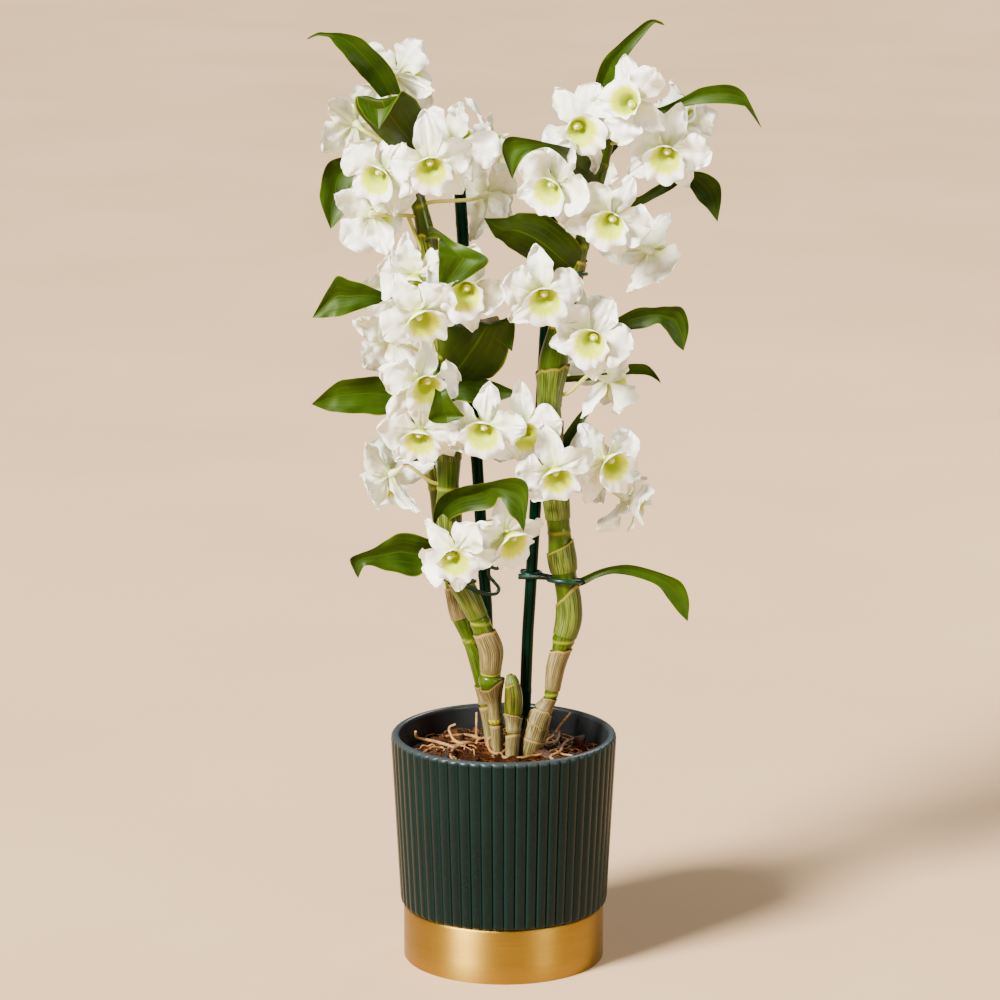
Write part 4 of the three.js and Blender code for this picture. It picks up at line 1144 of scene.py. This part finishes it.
# %% Leaves of the right cane
LEAVES.update({
    "right": [
        # the tall narrow one at the top
        [(61, 523, 66, 523, 3), (54, 536, 60, 538, 1), (55, 550, 65, 548, -2),
         (59, 562, 71, 559, -5), (67, 571, 76, 568, -7), (78, 581, 83, 577, -8),
         (87, 587, 90, 585, -8), (96, 584, 96, 584, -8)],
        # the highest one to the right
        [(67, 531, 68, 527, 6), (82, 532, 83, 528, 5), (94, 533, 96, 529, 3),
         (108, 540, 109, 534, 0), (119, 546, 121, 536, -3), (134, 548, 134, 536, -5),
         (143, 544, 143, 535, -5), (148, 536, 146, 533, -5), (155, 521, 155, 521, -5)],
        # the pointed one below it
        [(55, 476, 56, 470, 7), (79, 477, 81, 472, 9), (90, 483, 92, 477, 9),
         (99, 489, 102, 483, 6), (109, 494, 109, 489, 2), (121, 494, 112, 485, 0),
         (130, 488, 117, 478, -2), (131, 478, 123, 472, -3), (129, 464, 129, 464, -2)],
        # the upper one to the left, with a hanging end
        [(60, 484, 62, 498, 2), (52, 487, 54, 504, -12), (43, 496, 45, 511, -24),
         (36, 507, 36, 515, -34), (27, 515, 26, 518, -40), (18, 514, 14, 521, -43),
         (12, 510, 2, 522, -45), (8, 504, -1, 514, -45), (5, 497, 5, 497, -44)],
        # the broad one to the left
        [(51, 439, 36, 431, 2), (44, 453, 22, 437, -5), (28, 468, 10, 445, -9),
         (12, 472, 1, 452, -12), (6, 470, -2, 455, -14), (0, 469, -6, 458, -16),
         (-12, 469, -12, 469, -17)],
        # one to the right with a sharp bend
        [(36, 400, 36, 394, -1), (56, 398, 57, 393, -1), (66, 404, 68, 397, -4),
         (79, 412, 84, 400, -8), (90, 413, 93, 403, -9), (99, 414, 97, 400, -10),
         (108, 413, 100, 396, -10), (112, 400, 104, 390, -9), (109, 386, 109, 386, -8)],
        # a small one to the right
        [(32, 368, 32, 364, 2), (62, 370, 64, 366, 4), (73, 374, 75, 368, 8),
         (82, 375, 83, 368, 8), (89, 373, 90, 367, 8), (96, 363, 96, 363, 6)],
        # a narrow one that stands up
        [(26, 313, 33, 311, 2), (30, 321, 38, 319, 4), (36, 330, 42, 328, 6),
         (44, 341, 49, 338, 9), (52, 350, 55, 348, 10), (58, 359, 58, 359, 10)],
        # the lowest one to the right
        [(38, 239, 40, 235, -2), (48, 244, 49, 239, -6), (57, 249, 57, 244, -9),
         (66, 252, 66, 247, -10), (77, 253, 77, 246, -10), (90, 250, 87, 243, -10),
         (101, 246, 95, 239, -10), (110, 241, 101, 231, -10), (114, 230, 107, 223, -10),
         (113, 217, 113, 217, -10)],
    ],
})
print(len(LEAVES["right"]), "leaves in front on the right")

# %% [markdown]
# Leaves on the far side are plainer. Each arches away from its cane over a line of four
# places, and its edges are worked out from a width.

# %% Leaves on the back
BACK_LEAVES = {
    # the width, and the middle of the leaf from foot to tip
    "left": [
        (19, [(-50, 0, 470), (-60, 24, 482), (-70, 44, 479), (-78, 58, 462)]),
        (20, [(-37, -2, 386), (-20, 24, 400), (-10, 45, 397), (-5, 60, 381)]),
    ],
    "left_back": [(18, [(-42, 24, 296), (-54, 38, 308), (-66, 50, 305), (-75, 60, 292)])],
    "right": [
        (18, [(61, 5, 502), (67, 26, 514), (77, 46, 512), (85, 60, 495)]),
        (19, [(36, 0, 408), (25, 24, 420), (20, 46, 416), (17, 61, 401)]),
    ],
}
ARCHED_WIDTHS = (0.3, 0.95, 0.85, 0)
print(sum(len(leaves) for leaves in BACK_LEAVES.values()), "leaves on the back")


def arched(width, path):
    """Both edges of a plain leaf that arches away from its cane."""
    spine = [Vector(spot) for spot in path]
    rows = []
    for k, share in enumerate(ARCHED_WIDTHS):
        along = spine[min(k + 1, 3)] - spine[max(k - 1, 0)]
        reach = along.cross(Vector((0, 0, 1))).normalized() * width / 2 * share
        rows.append((*(spine[k] - reach), *(spine[k] + reach)))
    return rows


# %% [markdown]
# The blade is a thin sheet between its edges. Where it folds over, its normal is the average
# of five steps, or the fold would crease like tin. The midrib sinks between the edges, and
# noise gives the margin small waves.

# %% From two edges to a blade
BLADE_WALL = 0.8
STEPS_A_ROW = 6
TOP, UNDERSIDE = 0, 1


def blade(bm, rows, seed):
    """rows holds x, y, z of one edge and of the other. The top of the leaf faces forwards."""
    steps = STEPS_A_ROW * (len(rows) - 1)
    line = smooth(rows, steps)
    one_edge = [Vector(row[:3]) for row in line]
    other_edge = [Vector(row[3:]) for row in line]
    middle = [near.lerp(far, 0.5) for near, far in zip(one_edge, other_edge)]
    faces = []
    for i in range(steps + 1):
        along = middle[min(i + 1, steps)] - middle[max(i - 1, 0)]
        across = other_edge[min(i, steps - 1)] - one_edge[min(i, steps - 1)]
        faces.append(across.cross(along).normalized())

    def place(u, v):
        i, side = round(v * steps), 2 * u - 1
        normal = sum(faces[max(i - 2, 0):i + 3], Vector()).normalized()
        half = (other_edge[i] - one_edge[i]) / 2
        wave = 0.3 * noise.noise(Vector((3.0 * v, 1.1 * side, seed)))
        wave += 0.16 * noise.noise(Vector((9 * v, 2 * side, seed + 7)))
        rise = 0.34 * (abs(side) ** 1.15 - 1) + wave * side * side
        ripple = 1 + 0.06 * noise.noise(Vector((8 * v, side, seed + 3)))
        return middle[i] + half * side * ripple + normal * rise * half.length

    sheet(bm, 12, steps, place, BLADE_WALL, TOP, UNDERSIDE)


# %% [markdown]
# A leaf's top and its underside are wired alike, and the underside is a little duller and
# yellower. The distance from the midrib is read from u. The margin is a thin yellow line, and
# the midrib is a groove.

# %% Finishes of the leaves
def leaf_finish(name, dark, light, sheen, edge, rib, roughness):
    """sheen is the colour between the veins, and edge and rib that of margin and midrib."""
    finish = Finish(
        name, roughness, Specular_IOR_Level=0.18, Specular_Tint=(0.86, 1.0, 0.55, 1)
    )
    veins = finish.group(LINES, "UV", Across=42.0, Along=2.0, Detail=3.0)
    cloud = finish.group(BLOTCHES, "Object", Scale=30.0, Low=0.36, High=0.66)
    tone = finish.mix(cloud, dark, light)
    tone = finish.mix(finish.ramp(veins, [(0.5, 0.0), (0.8, 0.5)]), tone, sheen)
    across = finish.compute(finish.axis("UV", "X"), "SUBTRACT", 0.5)
    from_rib = finish.compute(across, "ABSOLUTE")
    margin = finish.ramp(from_rib, [(0.472, 0.0), (0.494, 0.65)])
    crease = finish.ramp(from_rib, [(0.004, 0.8), (0.022, 0.0)])
    tone = finish.mix(margin, tone, edge)
    finish.colour(finish.mix(crease, tone, rib))
    finish.rough(veins, roughness - 0.05, roughness + 0.12)
    groove = finish.compute(crease, "MULTIPLY", -1.2)
    finish.bump(finish.compute(veins, "ADD", groove), 0.22, 0.35)
    return finish


leaf_top = leaf_finish(
    "leaf_top", paint(20, 34, 0), paint(43, 62, 0), paint(68, 88, 0),
    paint(118, 124, 22), paint(52, 70, 0), 0.4,
)
leaf_under = leaf_finish(
    "leaf_underside", paint(24, 35, 0), paint(45, 58, 0), paint(68, 80, 0),
    paint(108, 114, 20), paint(58, 72, 0), 0.45,
)
LEAF_FINISHES = [leaf_top.material, leaf_under.material]

# %% [markdown]
# Each cane's leaves are one piece. They stand for no solid of their own, because in the solids
# they are fused into their cane.

# %% Building the leaves
for name in BACK_LEAVES:
    foliage = new_mesh()
    leaves = [
        [(x, y, z, far_x, y, far_z) for x, z, far_x, far_z, y in rows]
        for rows in LEAVES.get(name, [])
    ]
    leaves += [arched(*one) for one in BACK_LEAVES[name]]
    for k, rows in enumerate(leaves):
        blade(foliage, rows, seed=5.3 * k + len(name))
    settle(foliage, f"leaves_{name}", LEAF_FINISHES, corner=70)

# %% [markdown]
# ## Blooms
#
# A bloom has three narrow sepals, two round petals and a lip rolled into a frilled bowl, with a
# small column over its yellow-green throat. All of them are thin skins, so each is a grid
# with a thin wall. No two blooms open alike, so lengths, bends and ruffles differ a little
# from one to the next, always in the same way on each run. Each bloom has its own three
# directions, so that a petal can be shaped in them whichever way the bloom faces.

# %% The frame of a bloom
class Bloom:
    """turn swings the face from the front to the right, lift raises it, roll spins it."""

    def __init__(self, at, turn, lift, roll):
        turn, lift, roll = math.radians(turn), math.radians(lift), math.radians(roll)
        self.centre = Vector(at)
        self.ahead = Vector(
            (math.sin(turn) * math.cos(lift), -math.cos(turn) * math.cos(lift), math.sin(lift))
        )
        plumb = (Vector((0, 0, 1)) - self.ahead * self.ahead.z).normalized()
        beside = plumb.cross(self.ahead)
        self.up = plumb * math.cos(roll) + beside * math.sin(roll)
        self.right = self.up.cross(self.ahead)

    def spot(self, up, right, forward):
        return self.centre + self.up * up + self.right * right + self.ahead * forward


# %% [markdown]
# A sepal or petal leaves the middle of the bloom along a line, bends back towards its tip, and
# its edges ruffle. Its half width grows from a narrow root to the widest place and closes in
# an arc, round for a petal and more pointed for a sepal. A sepal stands straight up and two
# point down at the sides. The petals lie between them, in front.

# %% Sepals and petals
# length, half width, start, rise and backward bend, ruffle, root, widest place, point
SEPAL = (28.5, 8.4, -0.8, 1, -7, 3.0, 0.42, 0.42, 1.3)
PETAL = (26.5, 12.3, 0.8, 10, -9, 5.0, 0.22, 0.56, 1.05)
TEPALS = [(0, SEPAL), (76, PETAL), (138, SEPAL), (222, SEPAL), (284, PETAL)]
TEPAL_WALL = 0.5
TEPAL_ROOT = 2.2


def tepal(bm, bloom, chance, angle, form):
    """A sepal or petal of the given form, which points angle degrees from straight up."""
    length, half, start, rise, bend, ruffle, root, widest, point = form
    turn = math.radians(angle + chance.uniform(-8, 8))
    length *= chance.uniform(0.9, 1.04)
    half *= chance.uniform(0.88, 1.06)
    bend += chance.uniform(-6, 5)
    cup = chance.uniform(-0.3, 0.4)
    twist = chance.uniform(-0.4, 0.4)
    seed = chance.uniform(0, 90)
    reach_axis = bloom.up * math.cos(turn) + bloom.right * math.sin(turn)
    side_axis = bloom.right * math.cos(turn) - bloom.up * math.sin(turn)

    def share(w):
        """The share of the full width at w, which runs from 0 at the root to 1 at the tip."""
        if w < widest:
            s = w / widest
            return root + (1 - root) * s * s * (3 - 2 * s)
        return max(0, 1 - ((w - widest) / (1 - widest)) ** 2) ** (0.5 * point)

    def place(u, v):
        side, w = 2 * u - 1, math.sin(0.5 * math.pi * v)
        wide = half * share(w)
        wide *= 1 + 0.2 * noise.noise(Vector((4.5 * w, 0.8 * side, seed)))
        wave = noise.noise(Vector((2.6 * w + seed, 0.9 * side, seed)))
        wave += 0.5 * noise.noise(Vector((6.5 * w + seed, 1.4 * side, seed + 9)))
        crease = abs(noise.noise(Vector((2.2 * w, 2.4 * side, seed + 30))))
        frill = noise.noise(Vector((13 * w, 1.5 * side, seed + 20)))
        # the large form: the line of the petal, then how it cups and twists about that line
        forward = start + rise * w + bend * w * w + cup * wide * side**2 + twist * wide * side * w
        # broad ruffles and a fine frill, which grow towards the edges, and creases between
        forward += ruffle * wave * (0.25 + 1.5 * side * side) * min(1, 3 * w)
        forward += (2.4 * crease + 1.3 * frill * side * side) * min(1, 2.5 * w)
        # a shallow groove down the middle
        forward -= 0.8 * math.exp(-((side / 0.16) ** 2)) * (1 - 0.6 * w)
        reach = TEPAL_ROOT + (length - TEPAL_ROOT) * w * (1 + 0.05 * frill)
        reach -= 0.05 * wide * side**2
        spot = reach_axis * reach + side_axis * wide * side
        return bloom.centre + spot + bloom.ahead * forward

    sheet(bm, 14, 22, place, TEPAL_WALL)


# %% [markdown]
# The lip is one skin that starts deep in the throat, widens as a tube, and opens into a bowl
# that reaches far down and is short at the top. Its margin is finely frilled.

# %% The lip
LIP_WALL = 0.45
TUBE_SHARE = 0.4
LIP_LOOK, COLUMN_LOOK, STALK_LOOK, CAP_LOOK = 1, 2, 3, 4


def lip(bm, bloom, chance):
    """The lip runs from the throat, where v is 0, through its tube to the margin."""
    seed = chance.uniform(0, 90)
    size = chance.uniform(0.95, 1.05)
    tip_fall = chance.uniform(-1.5, 1.5)

    def place(u, v):
        turn = 2 * math.pi * u + math.pi
        up, side = math.cos(turn), math.sin(turn)
        margin = 8.8 + 6.8 * (0.5 - 0.5 * up) ** 0.85
        tube_part = min(v / TUBE_SHARE, 1)
        bowl = max(v - TUBE_SHARE, 0) / (1 - TUBE_SHARE)
        radius = 1.4 + 4.3 * tube_part**0.8 + (margin - 5.7) * bowl**0.92
        forward = 2.6 + 5.2 * tube_part**1.2 + 6.4 * bowl - (3.4 - 1.5 * up) * bowl**2
        forward += 1.2 * up * bowl + tip_fall * max(0, -up) * bowl**2
        frill = math.sin(7 * turn + 6 * noise.noise(Vector((up, side, seed))))
        frill += 1.8 * noise.noise(Vector((2.5 * up, 2.5 * side, seed)))
        forward += 1.2 * frill * bowl**2.2
        radius *= 1 + 0.06 * frill * bowl**3
        drop = 0.5 * tube_part + 2.4 * bowl
        return bloom.spot(size * radius * up - drop, size * radius * side, forward)

    sheet(bm, 64, 18, place, LIP_WALL, LIP_LOOK, LIP_LOOK, closed=True)


# %% [markdown]
# The column stands over the throat, a short thick stem with a pale cap at its end. The stalk
# comes from the cane and widens into the back of the bloom. Both are plain tubes.

# %% Column and stalk
STALK_RADII = [1.35, 1.2, 1.2, 1.6, 3.0]


def column(bm, bloom):
    path = [bloom.spot(0.8, 0, 1), bloom.spot(1.9, 0, 6), bloom.spot(1.9, 0, 9.2)]
    tube(bm, path, [2.2, 2.6, 2.1], sides=16, steps=8, look=COLUMN_LOOK)
    cap = [bloom.spot(1.7, 0, 8.6), bloom.spot(1.3, 0, 9.8), bloom.spot(0.8, 0, 10.4)]
    tube(bm, cap, [1.1, 1.3, 0.6], sides=14, steps=8, look=CAP_LOOK)


def stalk(bm, path):
    tube(bm, path, STALK_RADII, sides=12, steps=22, look=STALK_LOOK)


# %% [markdown]
# Petals are white with a breath of green where they are joined. Light passes through them a
# little way, so the shader has some subsurface scattering. Soft grey-warm blotches multiplied
# into the white are painted shade. Fine veins tint them and give them relief, and broad soft
# folds lie under those.

# %% Finish of the petals
LIT_THROUGH = {
    "Subsurface_Weight": 0.2, "Subsurface_Scale": 0.002, "Subsurface_Radius": (0.9, 1.0, 0.75),
}
petal_white = Finish("petal_white", 0.5, **LIT_THROUGH)
petal_veins = petal_white.group(LINES, "UV", Across=22.0, Along=1.6, Detail=3.0)
# painted shade: soft grey-warm blotches that darken the white
petal_painted_shade = petal_white.group(BLOTCHES, "Object", Scale=60.0, Low=0.35, High=0.7)
petal_root = petal_white.ramp(
    petal_white.axis("UV", "Y"),
    [(0.0, paint(206, 216, 140)), (0.14, paint(238, 240, 204)), (0.34, paint(251, 251, 238))],
)
petal_green_and_shade = petal_white.mix(petal_painted_shade, petal_root, paint(232, 232, 213), "MULTIPLY")
petal_line = petal_white.ramp(petal_veins, [(0.3, 0.93), (0.6, 1.0)])
petal_white.colour(petal_white.mix(1.0, petal_green_and_shade, petal_line, "MULTIPLY"))
petal_white.rough(petal_veins, 0.42, 0.6)
petal_fold = petal_white.group(LINES, "UV", Across=6.0, Along=0.8, Detail=1.0)
petal_folds = petal_white.compute(petal_fold, "MULTIPLY", 4.0)
petal_white.bump(petal_white.compute(petal_veins, "ADD", petal_folds), 0.3, 0.4)

# %% [markdown]
# The lip's throat is painted from its own UV map, where v runs from the throat out to the
# margin. Its veins push the edge of the colour in and out, so the yellow-green ends in soft
# streaks and not in a ring.

# %% Finish of the lip
lip_skin = Finish("lip_white", 0.48, Specular_IOR_Level=0.25, **LIT_THROUGH)
lip_veins = lip_skin.group(LINES, "UV", Across=40.0, Along=2.0, Detail=3.0)
lip_streaks = lip_skin.compute(lip_skin.compute(lip_veins, "SUBTRACT", 0.5), "MULTIPLY", 0.35)
lip_reach = lip_skin.compute(lip_skin.axis("UV", "Y"), "ADD", lip_streaks)
lip_tone = lip_skin.ramp(
    lip_reach,
    [(0.16, paint(160, 178, 0)), (0.42, paint(178, 194, 0)), (0.57, paint(200, 212, 4)),
     (0.66, paint(232, 238, 104)), (0.77, paint(251, 251, 238))],
)
lip_skin.colour(lip_tone)
lip_skin.bump(lip_veins, 0.3, 0.35)

# %% [markdown]
# The column is as green as the throat, and its cap is cream. The stalk is olive at the cane
# and fades to a greenish white at the bloom.

# %% Finishes of the column and the stalk
column_skin = Finish("column_green", 0.4)
column_cloud = column_skin.group(BLOTCHES, "Object", Scale=300.0, Low=0.35, High=0.65)
column_skin.colour(column_skin.mix(column_cloud, paint(160, 170, 20), paint(188, 196, 64)))
cap_skin = Finish("column_cap", 0.35)
cap_cloud = cap_skin.group(BLOTCHES, "Object", Scale=400.0, Low=0.35, High=0.65)
cap_skin.colour(cap_skin.mix(cap_cloud, paint(206, 208, 140), paint(228, 228, 184)))

stalk_skin = Finish("stalk_green", 0.4)
stalk_veins = stalk_skin.group(LINES, "UV", Across=16.0, Along=3.0, Detail=2.0)
stalk_tone = stalk_skin.ramp(
    stalk_skin.axis("UV", "Y"),
    [(0.1, paint(158, 150, 40)), (0.5, paint(190, 186, 84)), (0.9, paint(226, 228, 180))],
)
stalk_line = stalk_skin.ramp(stalk_veins, [(0.3, 0.85), (0.6, 1.0)])
stalk_skin.colour(stalk_skin.mix(1.0, stalk_tone, stalk_line, "MULTIPLY"))
BLOOM_FINISHES = [
    petal_white.material, lip_skin.material, column_skin.material, stalk_skin.material,
    cap_skin.material,
]

# %% [markdown]
# Blooms come in sprays of one to three from the same joint of a cane. A spray is written as
# its cane, the height it grows from, the side it grows to, and then each bloom's place, turn,
# lift and roll. Some blooms on either side face away, so that they are seen from behind.

# %% Sprays of the left cane
SPRAYS = {
    # cane, height and side, where 0 is the front and 90 the right, and then the blooms
    "spray_left_tip": ("left", 532, 170, [
        ((-65, 18, 551), 155, 20, 35),
    ]),
    "spray_left_crown": ("left", 508, -40, [
        ((-89, 5, 523), -165, 5, 46),
        ((-72, -24, 498), -25, 0, 20),
    ]),
    "spray_left_high": ("left", 496, 30, [
        ((-44, -40, 506), 4, -2, 0),
        ((-30, -18, 515), 148, 10, -20),
        ((-12, 6, 511), 88, 5, 0),
    ]),
    "spray_left_shoulder": ("left", 466, -60, [
        ((-79, -10, 470), -165, -10, 60),
        ((-52, -18, 434), -18, -25, 0),
    ]),
    "spray_left_inner": ("left", 474, 80, [
        ((-11, 20, 477), 138, -5, 20),
    ]),
    "spray_left_heart": ("left", 416, 10, [
        ((-24, -34, 429), 0, 0, 15),
        ((-50, -40, 416), 5, -16, -32),
    ]),
    "spray_left_waist": ("left", 380, -40, [
        ((-68, -8, 394), -160, -12, 53),
        ((-50, -42, 374), 25, 0, 15),
    ]),
    "spray_left_low": ("left", 336, -20, [
        ((-50, -32, 342), -12, -22, 0),
        ((-11, -38, 346), -4, -2, 0),
    ]),
    "spray_left_hip": ("left", 302, -70, [
        ((-69, -6, 309), -125, -30, 35),
    ]),
    "spray_left_foot": ("left", 268, 20, [
        ((-29, -32, 266), -12, -14, -42),
        ((1, -20, 275), 28, -12, 0),
    ]),
}
print(len(SPRAYS), "sprays in front on the left")

# %% Sprays of the right cane
SPRAYS.update({
    "spray_right_crown": ("right", 522, 0, [
        ((75, -28, 541), -8, 4, 118),
        ((47, -16, 524), -14, -2, -58),
    ]),
    "spray_right_high": ("right", 510, 60, [
        ((97, -18, 510), 0, -2, 10),
        ((107, 16, 521), 150, 5, 0),
    ]),
    "spray_right_inner": ("right", 484, -50, [
        ((31, -28, 491), -22, -2, 25),
    ]),
    "spray_right_shoulder": ("right", 458, 30, [
        ((64, -32, 471), 0, 0, 25),
        ((88, 0, 446), 135, -15, -40),
    ]),
    "spray_right_heart": ("right", 412, 0, [
        ((23, -42, 428), 0, 0, 0),
        ((53, -32, 399), -2, -4, 24),
    ]),
    "spray_right_waist": ("right", 356, 80, [
        ((63, 4, 366), 140, -12, -66),
    ]),
    "spray_right_low": ("right", 326, -60, [
        ((12, -22, 341), 0, 0, -15),
        ((31, -32, 318), 10, -12, -20),
    ]),
    "spray_right_hip": ("right", 302, 70, [
        ((62, -16, 320), 32, -2, -20),
        ((76, 8, 290), 85, -32, 0),
    ]),
})
print(len(SPRAYS), "sprays in front on both canes")

# %% Sprays on the back
SPRAYS.update({
    "spray_back_left_crown": ("left", 506, 170, [
        ((-66, 32, 530), -165, 10, 0),
    ]),
    "spray_back_left_heart": ("left", 412, -165, [
        ((-64, 34, 414), -160, -5, 0),
    ]),
    "spray_back_left_hip": ("left_back", 330, 150, [
        ((-32, 50, 334), 165, -5, 0),
    ]),
    "spray_back_right_crown": ("right", 482, 175, [
        ((46, 36, 486), -170, 0, 0),
    ]),
    "spray_back_right_waist": ("right", 388, 170, [
        ((46, 38, 394), -175, 0, 0),
    ]),
    "spray_back_right_low": ("right", 300, 160, [
        ((46, 34, 306), 160, -8, 0),
    ]),
})
print(len(SPRAYS), "sprays in all")

# %% [markdown]
# The first stalk of a spray grows out of the cane itself, through a hub just off its skin, and
# the others branch off it at that hub. Every stalk runs straight for its last 16 mm, so that
# it meets its bloom squarely. Each spray has its own seed, made from its name, so one of them
# can be changed without changing the rest.

# %% Building the sprays
HUB_GAP = 5
STRAIGHT_END = 16
SWING = 9
for name, (cane_name, height, side, blooms) in SPRAYS.items():
    chance = random.Random(name)
    spray = new_mesh()
    middle, radius = canes[cane_name].at(height)[:2]
    lean = math.radians(side)
    out = Vector((math.sin(lean), -math.cos(lean), 0.25)).normalized()
    hub = middle + out * (radius + HUB_GAP)
    for k, (at, *pose) in enumerate(blooms):
        bloom = Bloom(at, *[angle + chance.uniform(-SWING, SWING) for angle in pose])
        back = bloom.spot(0, 0, -STRAIGHT_END)
        start = [middle, hub, back] if k == 0 else [hub, hub.lerp(back, 0.5), back]
        stalk(spray, [*start, bloom.spot(0, 0, -6), bloom.spot(0, 0, 0.5)])
        for angle, form in TEPALS:
            tepal(spray, bloom, chance, angle, form)
        lip(spray, bloom, chance)
        column(spray, bloom)
    settle(spray, name.replace("spray", "blooms"), BLOOM_FINISHES, [name])

# %% [markdown]
# ## Measuring and finishing
#
# The finished plant must be as large as its solids.

# %% Size and finish
looks_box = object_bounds()
for label, box in (("solids", solid_box), ("looks", looks_box)):
    print(label, [round((box[1][i] - box[0][i]) * 1000, 1) for i in range(3)], "mm")
